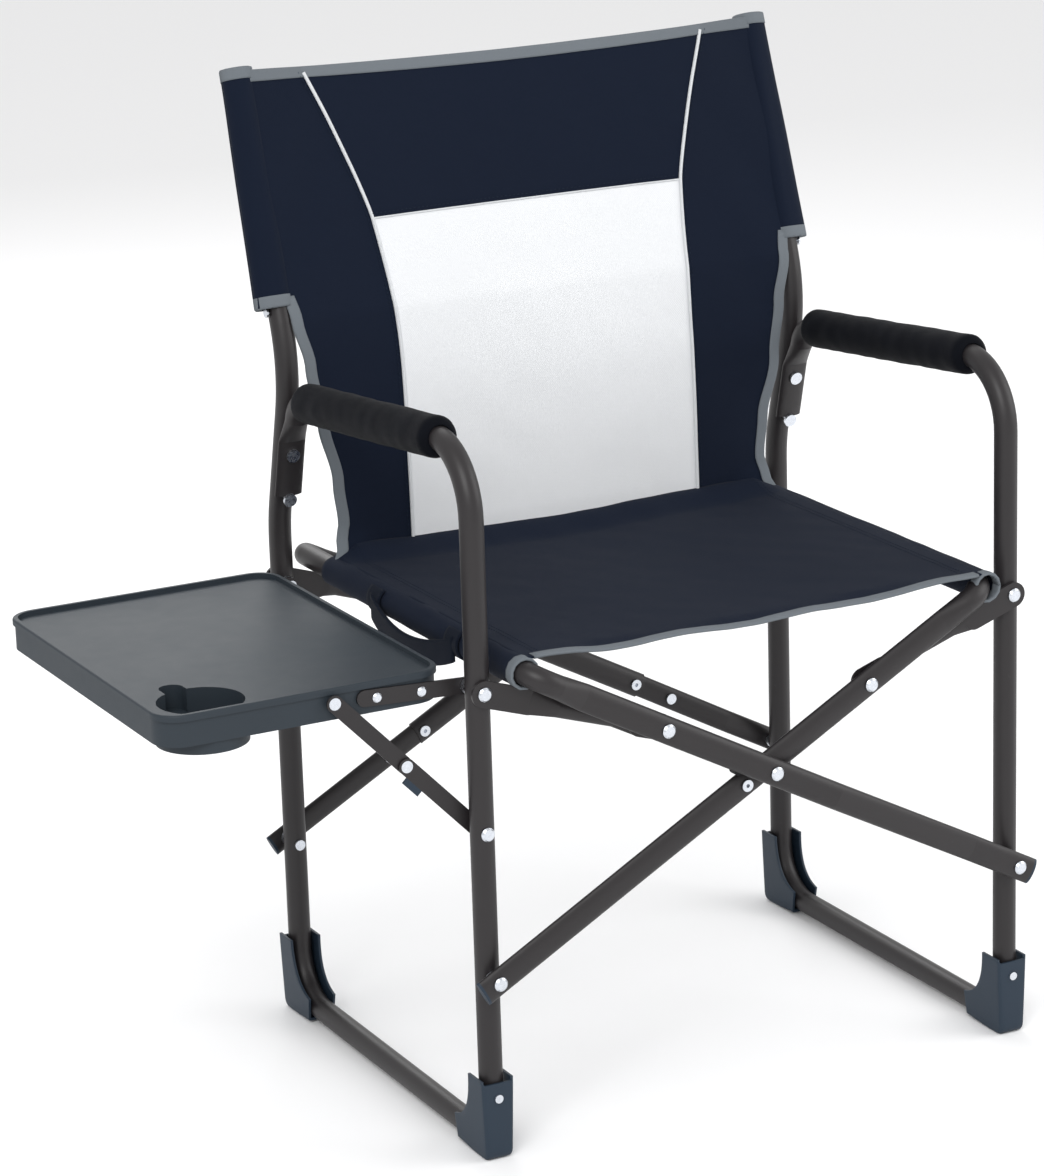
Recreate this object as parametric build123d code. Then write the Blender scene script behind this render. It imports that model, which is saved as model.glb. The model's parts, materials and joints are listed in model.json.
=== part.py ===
"""Folding director chair with a hinged side table, in millimetres.

+X is the sitter's left-to-right as seen from the front, +Y points to the back, +Z is up.
Every piece is a separate solid; each node is written to parts/NODE.step.
"""
from build123d import *
import os
from math import atan2, cos, degrees, hypot, radians, sin, sqrt

# --- side frames -----------------------------------------------------------------------------
TUBE = 22.0                  # outer diameter of the side frame tube
WALL = 1.2                   # wall of every steel tube
HALF_SPACING = 277.0         # mid-plane to the middle of a side frame
DEPTH = 412.0                # front leg to rear leg
RUNNER_Z = 13.5              # middle of the runner
BOTTOM_BEND = 52.0           # radius of the bends at the floor
POST_KINK_Z = 500.0          # the rear leg starts to lean forward
POST_KNEE = (371.0, 655.0)   # the post starts to lean back
POST_TOP_Z = 917.0
RECLINE = 0.322              # run per rise of the back
ARM_FRONT = (0.0, 661.0)     # where the arm line meets the front leg
ARM_BEND = 62.0
ARM_FALL = 0.094             # fall per run of the arm line towards the back
ARM_REAR_BEND = 26.0
ARM_FLAT = (28.0, 8.0)       # width and thickness of the flattened arm end
ARM_FLAT_LENGTH = 58.0
ARM_ROUND_RUN = 20.0         # round tube past the rear bend's corner
ARM_PRESS = 24.0             # run over which the tube is pressed flat
ARM_RIVETS_Z = (531.0, 577.0)
POST_BEND = 150.0            # radius of the two gentle bends of the post
PAD = 38.0                   # outer diameter of the arm pads
PAD_SPAN = (56.0, 334.0)     # front and rear end of a pad, along Y
FOOT_HEIGHT = 74.0
FOOT_LENGTH = 62.0
FOOT_HALF = (16.0, 13.5)     # half width at the top and at the floor
FOOT_FRONT = 14.5            # foot face ahead of the leg's middle

# --- scissor ---------------------------------------------------------------------------------
LOW_PIVOT_Z = 173.5
HIGH_PIVOT_Z = 439.5
CENTRE_Z = 324.0
RAIL_REACH = 275.0           # centre pivot to a seat rail, along the cross tube
LINK_REACH = 126.5           # centre pivot to a link rivet
RAIL = 22.0
RAIL_BEND = 22.0
CROSS = (25.0, 13.0)         # cross tube: across, front to back
CROSS_LOW = (25.0, 10.0)     # the same at the pressed low end
CROSS_OVERHANG = 15.0        # cross tube past its low pivot
FRONT_LAYER = 38.0           # middle of cross A ahead of the leg's middle
BACK_LAYER = 21.5            # middle of cross B, and of both low ends
LEAN_START = 75.0            # cross A starts to lean towards the leg
LEAN_END = 60.0              # and ends this far before the low pivot
SPLICE = 150.0               # end of the large rear tube, below the centre
SPLICE_OVERLAP = 40.0
SPLICE_RIVET = 142.0
LOWER_RIVET = 186.0
LOWER_TUBE = (22.2, 10.2)    # the rear tube that slides into the large one
BUMPER_REACH = 25.0          # fold bumper, below the centre on cross B

# --- links -----------------------------------------------------------------------------------
LINK_TUBE = (17.0, 12.0)
LINK_FLAT = (24.0, 3.0)
LINK_FLAT_RUN = 46.0         # flat part from a leg rivet
LINK_TAPER = 24.0
LINK_FAR_FLAT = 22.0
LINK_GAP = 0.5               # leg to link

# --- table -----------------------------------------------------------------------------------
TABLE_X = (-566.0, -297.0)
TABLE_Y = (18.8, 393.2)
TABLE_TOP = 459.0
TABLE_SKIRT = 29.0
TABLE_PLATE = 3.2
TABLE_WALL = 2.6
TABLE_LIP = 1.6              # the rim stands out of the skirt
TABLE_RIM = 5.0              # width of the raised rim
TABLE_SINK = 4.5             # tray floor below the rim
TABLE_CORNER = 26.0
CUP = 77.0                   # bore of the cup well
CUP_DEPTH = 33.0             # below the tray floor
CUP_CENTRE = (-511.0, 63.0)
SLOT_WIDTH = 22.0            # notch beside the cup, for the handle of a mug
SLOT_LENGTH = 46.0           # from the cup's middle to the middle of the notch's end
SLOT_OFFSET = -8.0
BRACKET = (15.0, 2.5)        # height and thickness of the bracket bars
BRACKET_END = -384.0
BRACKET_Z = 444.5
BRACKET_RIVETS = (-365.0, -322.0)
BRACE = (15.0, 2.0)
BRACE_TABLE_X = -407.0
BRACE_TABLE_Z = 446.0
BRACE_AIR = 0.3              # between the leg, the lower half and the upper half
BRACE_LOWER_Y = TUBE / 2 + BRACE_AIR
BRACE_UPPER_Y = BRACE_LOWER_Y + BRACE[1] + BRACE_AIR

# --- fasteners and clearances ----------------------------------------------------------------
PIN = 6.0                    # rivet shank diameter
HEAD = 13.0
HEAD_HEIGHT = 2.6
WASHER = 15.0
RUNNING = 0.05               # radial clearance of a turning rivet
FLUSH = 0.2                  # height of a head pressed almost level with its bar
BRACKET_HEAD = 2.0           # height of the bracket rivets' heads, which a brace passes
GAP = 0.4                    # air between faces that slide past each other

# --- fabric ----------------------------------------------------------------------------------
CLOTH = 1.6
SLEEVE_WALL = 1.4
SLEEVE_EASE = 0.15          # air between a tube and its hem
SEAT_FRONT_Y = -15.0
SEAT_BACK_Y = 362.0
BACK_HEM_Z = 702.0           # lower end of the sleeves on the posts
BACK_TOP_Z = POST_TOP_Z + 9.0
SAG = 5.0
BACK_FOOT = (366.0, 473.0)   # lower edge of the back panel, in (y, z)
# half width and height of the back's cut-out sides; the first one starts at the sleeves
BACK_SIDE = [(0.0, 702.0), (259.0, 655.0), (252.0, 600.0), (239.0, 540.0), (234.0, 490.0), (237.0, 465.0)]
HANDLE_Y = (90.0, 250.0)

THETA = atan2(CENTRE_Z - LOW_PIVOT_Z, HALF_SPACING)
REACH = hypot(HALF_SPACING, CENTRE_Z - LOW_PIVOT_Z)
RAIL_X = RAIL_REACH * cos(THETA)
RAIL_Z = CENTRE_Z + RAIL_REACH * sin(THETA)
LINK_X = LINK_REACH * cos(THETA)
LINK_Z = CENTRE_Z + LINK_REACH * sin(THETA)
BACK_LEAN = atan2(RECLINE, 1.0)
MIDDLE_Y = DEPTH / 2
SKIRT_Y = TABLE_Y[0] + TABLE_LIP
BRACKET_Y = SKIRT_Y - BRACKET[1]


def post_y(z):
    """Middle of the post at a height above its knee."""
    return POST_KNEE[0] + RECLINE * (z - POST_KNEE[1])


def rounded(points, radii):
    """A wire of straight runs joined by tangent arcs, one radius for each inner corner."""
    points = [Vector(p) for p in points]
    edges = []
    here = points[0]
    for before, corner, after, radius in zip(points, points[1:], points[2:], radii):
        to_start = (before - corner).normalized()
        to_end = (after - corner).normalized()
        half = radians(to_start.get_angle(to_end)) / 2
        run = radius * cos(half) / sin(half)
        start = corner + to_start * run
        end = corner + to_end * run
        middle = corner + (to_start + to_end).normalized() * (radius / sin(half) - radius)
        edges.append(Edge.make_line(here, start))
        edges.append(Edge.make_three_point_arc(start, middle, end))
        here = end
    edges.append(Edge.make_line(here, points[-1]))
    return Wire(edges)


def round_tube(path, diameter, wall=WALL):
    """A hollow round tube along a wire."""
    start = Plane(origin=path @ 0, z_dir=path % 0)
    ring = Circle(diameter / 2) - Circle(diameter / 2 - wall)
    return sweep(start * ring, path=path)


def oval(size, inset=0.0):
    """An upright oval section: the first size lies along the section plane's X."""
    return Ellipse(size[0] / 2 - inset, size[1] / 2 - inset)


def oval_tube(stations, wall=WALL):
    """A hollow tube of straight runs through (point, across, section) stations."""
    points = [Vector(s[0]) for s in stations]
    outer = []
    inner = []
    for i, (_, across, size) in enumerate(stations):
        ahead = (points[min(i + 1, len(points) - 1)] - points[max(i - 1, 0)]).normalized()
        plane = Plane(origin=points[i], x_dir=across, z_dir=ahead)
        outer.append(plane * oval(size))
        inner.append(plane * oval(size, wall))
    return loft(outer, ruled=True) - loft(inner, ruled=True)


def along_y(x, z, y0, y1, diameter):
    """A cylinder along Y."""
    plane = Plane(origin=(x, min(y0, y1), z), z_dir=(0, 1, 0))
    return plane * extrude(Circle(diameter / 2), abs(y1 - y0))


def along_x(y, z, x0, x1, diameter):
    """A cylinder along X."""
    plane = Plane(origin=(min(x0, x1), y, z), z_dir=(1, 0, 0))
    return plane * extrude(Circle(diameter / 2), abs(x1 - x0))


def rivet(x, z, y0, y1, diameter=PIN, head=HEAD, height=HEAD_HEIGHT):
    """A rivet along Y with a domed head outside y0 and a flat head outside y1."""
    sign = 1 if y1 > y0 else -1
    shank = along_y(x, z, y0, y1, diameter)
    front = along_y(x, z, y0 - sign * height, y0, head)
    front = chamfer(front.faces().sort_by(Axis.Y)[0 if sign > 0 else -1].edges(), height * 0.6)
    back = along_y(x, z, y1, y1 + sign * HEAD_HEIGHT * 0.7, head * 0.8)
    return shank + front + back


def mirrored_y(shape):
    """The same piece on the other end of the chair."""
    return mirror(shape, Plane(origin=(0, MIDDLE_Y, 0), z_dir=(0, 1, 0)))


def mirrored_x(shape):
    """The same piece on the other side of the chair."""
    return mirror(shape, Plane.YZ)


def bar(points, size, y0):
    """A flat bar with round ends through (x, z) points, its face at y0 and thickness towards +Y."""
    width, thickness = size
    body = None
    for a, b in zip(points, points[1:]):
        length = hypot(b[0] - a[0], b[1] - a[1])
        lean = degrees(atan2(b[1] - a[1], b[0] - a[0]))
        place = Location(((a[0] + b[0]) / 2, y0, (a[1] + b[1]) / 2)) * Location((0, 0, 0), (90, 0, 0))
        sketch = Rot(0, 0, lean) * SlotOverall(length + width, width)
        piece = place * extrude(sketch, -thickness)
        body = piece if body is None else body + piece
    return body


# --- side frame ------------------------------------------------------------------------------

def arm_axes():
    """Directions in (y, z): down the lower post, along the arm to the back, and out of the post."""
    fall = (DEPTH - POST_KNEE[0], POST_KINK_Z - POST_KNEE[1])
    size = hypot(*fall)
    flat = (fall[0] / size, fall[1] / size)
    run = hypot(1, ARM_FALL)
    return flat, (1 / run, -ARM_FALL / run), (flat[1], -flat[0])


def arm_corner():
    """Where the arm line meets the line beside the post that its rear bend runs into."""
    flat, arm, out = arm_axes()
    offset = TUBE + GAP
    base = (POST_KNEE[0] + out[0] * offset, POST_KNEE[1] + out[1] * offset)
    gap = (base[0] - ARM_FRONT[0], base[1] - ARM_FRONT[1])
    cross = arm[0] * flat[1] - arm[1] * flat[0]
    reach = (gap[0] * flat[1] - gap[1] * flat[0]) / cross
    return ARM_FRONT[0] + arm[0] * reach, ARM_FRONT[1] + arm[1] * reach


def arm_round_end():
    """The end of the arm's round part, just past its rear bend, in (y, z)."""
    flat, _, _ = arm_axes()
    corner = arm_corner()
    return corner[0] + flat[0] * ARM_ROUND_RUN, corner[1] + flat[1] * ARM_ROUND_RUN


def frame_path(x):
    """The middle line of one side frame, from the post's top round to the arm's rear bend."""
    points = [
        (x, post_y(POST_TOP_Z), POST_TOP_Z),
        (x, *POST_KNEE),
        (x, DEPTH, POST_KINK_Z),
        (x, DEPTH, RUNNER_Z),
        (x, 0, RUNNER_Z),
        (x, *ARM_FRONT),
        (x, *arm_corner()),
        (x, *arm_round_end()),
    ]
    radii = [POST_BEND, POST_BEND, BOTTOM_BEND, BOTTOM_BEND, ARM_BEND, ARM_REAR_BEND]
    return rounded(points, radii)


def arm_end(x):
    """The arm's end, pressed flat where it lies against the post."""
    flat, _, out = arm_axes()
    way = Vector(0, *flat)
    start = Vector(x, *arm_round_end())
    inward = (TUBE + GAP) - (TUBE / 2 + ARM_FLAT[1] / 2 + GAP)
    middle = start + way * ARM_PRESS - Vector(0, *out) * inward
    finish = middle + way * ARM_FLAT_LENGTH
    solids = []
    for inset in (0.0, WALL):
        round_end = Plane(origin=start, x_dir=(1, 0, 0), z_dir=way) * oval((TUBE, TUBE), inset)
        ends = []
        for point in (middle, finish):
            plane = Plane(origin=point, x_dir=(1, 0, 0), z_dir=way)
            ends.append(plane * oval(ARM_FLAT, inset))
        solids.append(loft([round_end, ends[0]], ruled=True) + loft(ends, ruled=True))
    return solids[0] - solids[1]


def arm_rivet_places():
    """Points on the post's middle line and the outward direction of the two arm rivets."""
    _, _, out = arm_axes()
    out = Vector(0, *out)
    places = []
    for z in ARM_RIVETS_Z:
        y = DEPTH + (POST_KNEE[0] - DEPTH) * (z - POST_KINK_Z) / (POST_KNEE[1] - POST_KINK_Z)
        places.append(Vector(0, y, z))
    return places, out


def side_tube(x):
    """One side frame: post, rear leg, runner, front leg and arm, bent from one tube."""
    return round_tube(frame_path(x), TUBE) + arm_end(x)


def arm_rivets(x):
    """Rivets through the flattened arm end and the post."""
    places, out = arm_rivet_places()
    made = []
    for place in places:
        at = Vector(x, place.Y, place.Z)
        reach = TUBE / 2 + ARM_FLAT[1] + GAP + 0.1
        shank = Plane(origin=at - out * (TUBE / 2), z_dir=out) * extrude(Circle(PIN / 2), reach + TUBE / 2)
        head = Plane(origin=at + out * reach, z_dir=out) * extrude(Circle(HEAD / 2), HEAD_HEIGHT)
        tail = Plane(origin=at - out * (TUBE / 2 + 2), z_dir=out) * extrude(Circle(HEAD * 0.4), 2)
        made.append(shank + head + tail)
    return made


def post_plug(x):
    """The plug in the post's open top."""
    way = Vector(0, sin(BACK_LEAN), cos(BACK_LEAN))
    top = Vector(x, post_y(POST_TOP_Z), POST_TOP_Z)
    stem = Plane(origin=top - way * 16, z_dir=way) * extrude(Circle(TUBE / 2 - WALL - 0.05), 16)
    cap = Plane(origin=top, z_dir=way) * extrude(Circle(TUBE / 2), 2.5)
    return stem + cap


def foot(x, front=True):
    """A moulded shoe round a floor bend, open towards the runner."""
    back = FOOT_LENGTH - FOOT_FRONT
    with BuildSketch(Plane.YZ) as outline:
        with BuildLine():
            Polyline((-FOOT_FRONT, FOOT_HEIGHT), (-FOOT_FRONT, 0), (back - 8, 0), (back, 9))
            Line((back, 9), (back, 30))
            ThreePointArc((back, 30), (23, 43), (13.5, FOOT_HEIGHT))
            Line((13.5, FOOT_HEIGHT), (-FOOT_FRONT, FOOT_HEIGHT))
        make_face()
    slab = extrude(outline.sketch, FOOT_HALF[0], both=True)
    lean = degrees(atan2(FOOT_HALF[0] - FOOT_HALF[1], FOOT_HEIGHT))
    for sign in (-1, 1):
        wedge = Box(20, 3 * FOOT_LENGTH, 3 * FOOT_HEIGHT, align=(Align.MIN, Align.CENTER, Align.CENTER))
        wedge = Location((FOOT_HALF[1], 0, 0)) * Rot(0, lean, 0) * wedge
        slab -= wedge if sign > 0 else mirrored_x(wedge)
    slab = Location((x, 0, 0)) * slab
    return slab if front else mirrored_y(slab)


def foot_screw(x, front=True):
    """The screw that holds a shoe to its leg."""
    head = along_y(x, 59.5, -FOOT_FRONT - 1.6, -FOOT_FRONT, 8.0)
    shank = along_y(x, 59.5, -FOOT_FRONT, -TUBE / 2 + 4, 3.5)
    screw = head + shank
    return screw if front else mirrored_y(screw)


def arm_pad(x):
    """The foam grip on an arm."""
    _, arm, _ = arm_axes()
    run0 = (PAD_SPAN[0] - ARM_FRONT[0]) / arm[0]
    run1 = (PAD_SPAN[1] - ARM_FRONT[0]) / arm[0]
    way = Vector(0, arm[0], arm[1])
    start = Vector(x, ARM_FRONT[0] + arm[0] * run0, ARM_FRONT[1] + arm[1] * run0)
    plane = Plane(origin=start, z_dir=way)
    body = plane * extrude(Circle(PAD / 2), run1 - run0)
    body = fillet(body.edges(), 5)
    return body - side_core(x)


# --- scissor ---------------------------------------------------------------------------------

def cross_point(side, reach, y):
    """A point on cross A (side 1, low end on the right) or B (side -1), reach below the centre."""
    return Vector(side * reach * cos(THETA), y, CENTRE_Z - reach * sin(THETA))


def cross_stations(side, y_up, y_low, top, bottom, size, low_size):
    """Stations of a cross tube from reach top down to reach bottom."""
    across = (side * sin(THETA), 0, cos(THETA))
    lean_end = REACH - LEAN_END
    marks = [top, LEAN_START, lean_end, REACH, bottom]
    found = []
    for reach in marks:
        if reach < top or (reach == LEAN_START and y_up == y_low):
            continue
        share = min(max((reach - LEAN_START) / (lean_end - LEAN_START), 0), 1)
        if top > LEAN_START:
            share = min(max((reach - top) / (lean_end - top), 0), 1)
        y = y_up + (y_low - y_up) * share
        section = low_size if reach >= lean_end else size
        found.append((cross_point(side, reach, y), across, section))
    return found


def rail_and_bends(side, y_front, y_rear):
    """A seat rail with the start of its two cross tubes."""
    down = -RAIL_REACH + RAIL_BEND + 6
    points = [
        cross_point(side, down, y_rear),
        cross_point(side, -RAIL_REACH, y_rear),
        cross_point(side, -RAIL_REACH, y_front),
        cross_point(side, down, y_front),
    ]
    return round_tube(rounded(points, [RAIL_BEND, RAIL_BEND]), RAIL)


def shoulder(side, y):
    """The tube's change from round to oval below a rail bend."""
    across = (side * sin(THETA), 0, cos(THETA))
    down = -RAIL_REACH + RAIL_BEND + 6
    start = (cross_point(side, down, y), across, (RAIL, RAIL))
    end = (cross_point(side, down + 28, y), across, CROSS)
    return oval_tube([start, end]), down + 28


def cross_frame(side, layer):
    """A cross frame's main tube: rail, whole front leg and upper rear leg."""
    y_front = -layer
    y_rear = DEPTH + layer
    tube = rail_and_bends(side, y_front, y_rear)
    front_shoulder, start = shoulder(side, y_front)
    rear_shoulder, _ = shoulder(side, y_rear)
    bottom = REACH + CROSS_OVERHANG
    front = oval_tube(cross_stations(side, y_front, -BACK_LAYER, start, bottom, CROSS, CROSS_LOW))
    across = (side * sin(THETA), 0, cos(THETA))
    rear = oval_tube([
        (cross_point(side, start, y_rear), across, CROSS),
        (cross_point(side, SPLICE, y_rear), across, CROSS),
    ])
    return tube + front_shoulder + rear_shoulder + front + rear


def rear_lower(side, layer):
    """The rear tube that plugs into the cross frame and reaches the rear low pivot."""
    y_rear = DEPTH + layer
    across = (side * sin(THETA), 0, cos(THETA))
    inside = (cross_point(side, SPLICE - SPLICE_OVERLAP, y_rear), across, LOWER_TUBE)
    rest = cross_stations(side, y_rear, DEPTH + BACK_LAYER, SPLICE + 4, REACH + CROSS_OVERHANG, LOWER_TUBE,
                          LOWER_TUBE)
    return oval_tube([inside] + rest)


def cross_plug(side, front=True):
    """The plug in the open low end of a cross tube."""
    size = CROSS_LOW if front else LOWER_TUBE
    y = -BACK_LAYER if front else DEPTH + BACK_LAYER
    end = cross_point(side, REACH + CROSS_OVERHANG, y)
    way = (side * cos(THETA), 0, -sin(THETA))
    plane = Plane(origin=end, x_dir=(side * sin(THETA), 0, cos(THETA)), z_dir=way)
    cap = plane * extrude(oval(size), 2.5)
    stem = plane * extrude(oval(size, WALL + 0.05), -8)
    return cap + stem


def low_rivet(side, front=True):
    """The rivet on which a cross frame turns on a side frame."""
    x = side * HALF_SPACING
    pin = rivet(x, LOW_PIVOT_Z, -BACK_LAYER - CROSS_LOW[1] / 2 - 0.2, TUBE / 2 + 0.2)
    return pin if front else mirrored_y(pin)


def low_spacer(side, front=True):
    """The washer between a cross frame's low end and the leg."""
    x = side * HALF_SPACING
    ring = along_y(x, LOW_PIVOT_Z, -BACK_LAYER + CROSS_LOW[1] / 2 + GAP, -TUBE / 2, WASHER)
    ring -= along_y(x, LOW_PIVOT_Z, -BACK_LAYER, 0, PIN)
    return ring if front else mirrored_y(ring)


# --- links -----------------------------------------------------------------------------------

def link_layers(side):
    """Y of the link's leg face, of its tube and of its cross face."""
    leg_face = -TUBE / 2 - LINK_GAP - LINK_FLAT[1]
    if side > 0:
        return leg_face, leg_face - 0.2 + LINK_TUBE[1] / 2, leg_face
    cross_face = -FRONT_LAYER + CROSS[1] / 2 + 0.3
    return leg_face, -21.3, cross_face


def link_tube(origin, way, across, stations, inset=0.0):
    """Straight oval runs through (run, y, size) stations along a link."""
    body = None
    for first, second in zip(stations, stations[1:]):
        pair = []
        for run, y, size in (first, second):
            at = Vector(origin[0] + way.X * run, y, origin[1] + way.Z * run)
            pair.append(Plane(origin=at, x_dir=across, z_dir=way) * oval(size, inset))
        piece = loft(pair, ruled=True)
        body = piece if body is None else body + piece
    return body


def link(side, front=True):
    """A tube with two pressed ends between a side frame and a cross frame."""
    leg_face, middle, cross_face = link_layers(side)
    x0, z0 = side * HALF_SPACING, HIGH_PIVOT_Z
    x1, z1 = side * LINK_X, LINK_Z
    length = hypot(x1 - x0, z1 - z0)
    way = Vector((x1 - x0) / length, 0, (z1 - z0) / length)
    across = Vector(-way.Z, 0, way.X)
    half = LINK_FLAT[1] / 2
    far_run = length - LINK_FAR_FLAT
    stations = [
        (LINK_FLAT_RUN, leg_face + half, LINK_FLAT),
        (LINK_FLAT_RUN + LINK_TAPER, middle, LINK_TUBE),
        (far_run - LINK_TAPER, middle, LINK_TUBE),
        (far_run, cross_face + half, LINK_FLAT),
    ]
    body = link_tube((x0, z0), way, across, stations)
    body -= link_tube((x0, z0), way, across, stations[1:3], WALL)
    body += bar([(x0, z0), (x0 + way.X * LINK_FLAT_RUN, z0 + way.Z * LINK_FLAT_RUN)], LINK_FLAT, leg_face)
    body += bar([(x0 + way.X * far_run, z0 + way.Z * far_run), (x1, z1)], LINK_FLAT, cross_face)
    body -= along_y(x0, z0, -60, 60, PIN + 2 * RUNNING)
    body -= along_y(x1, z1, -60, 60, PIN + 2 * RUNNING)
    return body if front else mirrored_y(body)


def link_rivet(side, front=True):
    """The cross frame's rivet for a link; it stops short of the link's hole."""
    y_cross = -FRONT_LAYER if side < 0 else -BACK_LAYER
    face = y_cross - CROSS[1] / 2 - 0.2
    pin = along_y(side * LINK_X, LINK_Z, face, y_cross + CROSS[1] / 2, PIN)
    head = along_y(side * LINK_X, LINK_Z, face - HEAD_HEIGHT, face, HEAD)
    head = chamfer(head.faces().sort_by(Axis.Y)[0].edges(), HEAD_HEIGHT * 0.6)
    whole = pin + head
    return whole if front else mirrored_y(whole)


def high_rivet(side, front=True):
    """The leg's rivet for a link and, on the left, for the table bracket."""
    leg_face, _, _ = link_layers(side)
    tail = SKIRT_Y + GAP if side < 0 else TUBE / 2 + 0.2
    pin = rivet(side * HALF_SPACING, HIGH_PIVOT_Z, leg_face - 0.3, tail)
    return pin if front else mirrored_y(pin)


def bracket_spacer(front=True):
    """The washer between the leg and the table bracket."""
    ring = along_y(-HALF_SPACING, HIGH_PIVOT_Z, TUBE / 2, BRACKET_Y - GAP, WASHER)
    ring -= along_y(-HALF_SPACING, HIGH_PIVOT_Z, 0, 40, PIN)
    return ring if front else mirrored_y(ring)


def centre_rivet(front=True):
    """The rivet on which the two cross frames turn."""
    face = -FRONT_LAYER - CROSS[1] / 2 - 0.3
    pin = rivet(0, CENTRE_Z, face, -BACK_LAYER + CROSS[1] / 2)
    return pin if front else mirrored_y(pin)


def centre_spacer(front=True):
    """The washer between the two cross frames."""
    ring = along_y(0, CENTRE_Z, -FRONT_LAYER + CROSS[1] / 2 + GAP, -BACK_LAYER - CROSS[1] / 2, WASHER + 2)
    ring -= along_y(0, CENTRE_Z, -60, 0, PIN)
    return ring if front else mirrored_y(ring)


def fold_bumper():
    """The rubber stop riveted beside the centre on cross B."""
    reach = BUMPER_REACH
    at = cross_point(-1, reach, -BACK_LAYER)
    side_step = CROSS[0] / 2 + 4
    x = at.X - sin(THETA) * side_step
    z = at.Z + cos(THETA) * side_step
    return along_y(x, z, -BACK_LAYER - 5, -BACK_LAYER + 5, 8)


def bumper_rivet(filled=False):
    """The hollow rivet below the centre pivot on cross B."""
    at = cross_point(-1, BUMPER_REACH, -BACK_LAYER)
    face = -BACK_LAYER - CROSS[1] / 2 - 0.2
    ring = along_y(at.X, at.Z, face - 1.4, face, HEAD * 0.85)
    ring += along_y(at.X, at.Z, face, -BACK_LAYER + CROSS[1] / 2, PIN)
    return ring if filled else ring - along_y(at.X, at.Z, -60, 0, PIN - 2.4)


def splice_rivets(side, layer, filled=False):
    """The hollow rivet through the rear splice and the rivet below it."""
    made = []
    for reach, hollow in ((SPLICE_RIVET, True), (LOWER_RIVET, False)):
        lean_end = REACH - LEAN_END
        share = max((reach - SPLICE - 4) / (lean_end - SPLICE - 4), 0)
        y = DEPTH + layer - (layer - BACK_LAYER) * share
        at = cross_point(side, reach, y)
        size = CROSS if hollow else LOWER_TUBE
        face = y - size[1] / 2 - 0.2
        one = along_y(at.X, at.Z, face - 2, face, HEAD * 0.85)
        one += along_y(at.X, at.Z, face, y + size[1] / 2, PIN)
        if hollow and not filled:
            one -= along_y(at.X, at.Z, 0, 2 * DEPTH, PIN - 2.4)
        made.append(one)
    return made


# --- table -----------------------------------------------------------------------------------

def tray_outline(inset, corner):
    """The table's rounded outline in plan, moved in by inset."""
    width = TABLE_X[1] - TABLE_X[0] - 2 * inset
    length = TABLE_Y[1] - TABLE_Y[0] - 2 * inset
    middle = ((TABLE_X[0] + TABLE_X[1]) / 2, (TABLE_Y[0] + TABLE_Y[1]) / 2)
    return Pos(*middle) * RectangleRounded(width, length, corner)


def table_top():
    """The moulded table: a skirted tray with a cup well and a notch beside it."""
    bottom = TABLE_TOP - TABLE_SKIRT
    floor = TABLE_TOP - TABLE_SINK
    body = Pos(0, 0, bottom) * extrude(tray_outline(TABLE_LIP, TABLE_CORNER), TABLE_SKIRT)
    rim = Pos(0, 0, TABLE_TOP - 6) * extrude(tray_outline(0, TABLE_CORNER), 6)
    rim = fillet(rim.edges().group_by(Axis.Z)[-1], 2)
    body += rim
    body -= Pos(0, 0, floor) * extrude(tray_outline(TABLE_RIM, TABLE_CORNER - TABLE_RIM), 20)
    hollow = extrude(tray_outline(TABLE_LIP + TABLE_WALL, TABLE_CORNER - TABLE_WALL), floor - TABLE_PLATE - bottom)
    body -= Pos(0, 0, bottom) * hollow
    x, y = CUP_CENTRE
    cup_floor = TABLE_TOP - TABLE_SINK - CUP_DEPTH
    well = Pos(x, y, cup_floor - TABLE_WALL) * extrude(Circle(CUP / 2 + TABLE_WALL), floor - cup_floor)
    notch = SlotOverall(SLOT_LENGTH + SLOT_WIDTH, SLOT_WIDTH)
    notch_wall = SlotOverall(SLOT_LENGTH + SLOT_WIDTH + 2 * TABLE_WALL, SLOT_WIDTH + 2 * TABLE_WALL)
    place = Pos(x + SLOT_OFFSET, y + SLOT_LENGTH / 2, 0) * Rot(0, 0, 90)
    body += well
    body += Pos(0, 0, bottom) * extrude(place * notch_wall, floor - bottom)
    body -= Pos(x, y, cup_floor) * extrude(Circle(CUP / 2), 80)
    body -= Pos(0, 0, bottom + TABLE_WALL) * extrude(place * notch, 80)
    return body


def brace_points():
    """Leg rivet, middle joint and table rivet of a brace, in (x, z)."""
    reach = -HALF_SPACING - BRACE_TABLE_X
    rise = BRACE_TABLE_Z - HIGH_PIVOT_Z
    leg = (-HALF_SPACING, HIGH_PIVOT_Z - hypot(reach, rise))
    table = (BRACE_TABLE_X, BRACE_TABLE_Z)
    joint = ((leg[0] + table[0]) / 2, (leg[1] + table[1]) / 2)
    return leg, joint, table


def table_bracket(front=True):
    """The bar that carries the table on the leg's rivet."""
    piece = bar([(-HALF_SPACING, HIGH_PIVOT_Z), (BRACKET_END + BRACKET[0] / 2, BRACKET_Z)], BRACKET,
                BRACKET_Y)
    piece -= along_y(-HALF_SPACING, HIGH_PIVOT_Z, 0, 40, PIN + 2 * RUNNING)
    return piece if front else mirrored_y(piece)


def bracket_rivet(x, front=True):
    """A rivet through the bracket and the table's skirt."""
    z = HIGH_PIVOT_Z + (BRACKET_Z - HIGH_PIVOT_Z) * (-HALF_SPACING - x) / (-HALF_SPACING - BRACKET_END)
    face = BRACKET_Y
    pin = rivet(x, z, face, SKIRT_Y + TABLE_WALL, 4.0, 9.0, BRACKET_HEAD)
    return pin if front else mirrored_y(pin)


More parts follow.
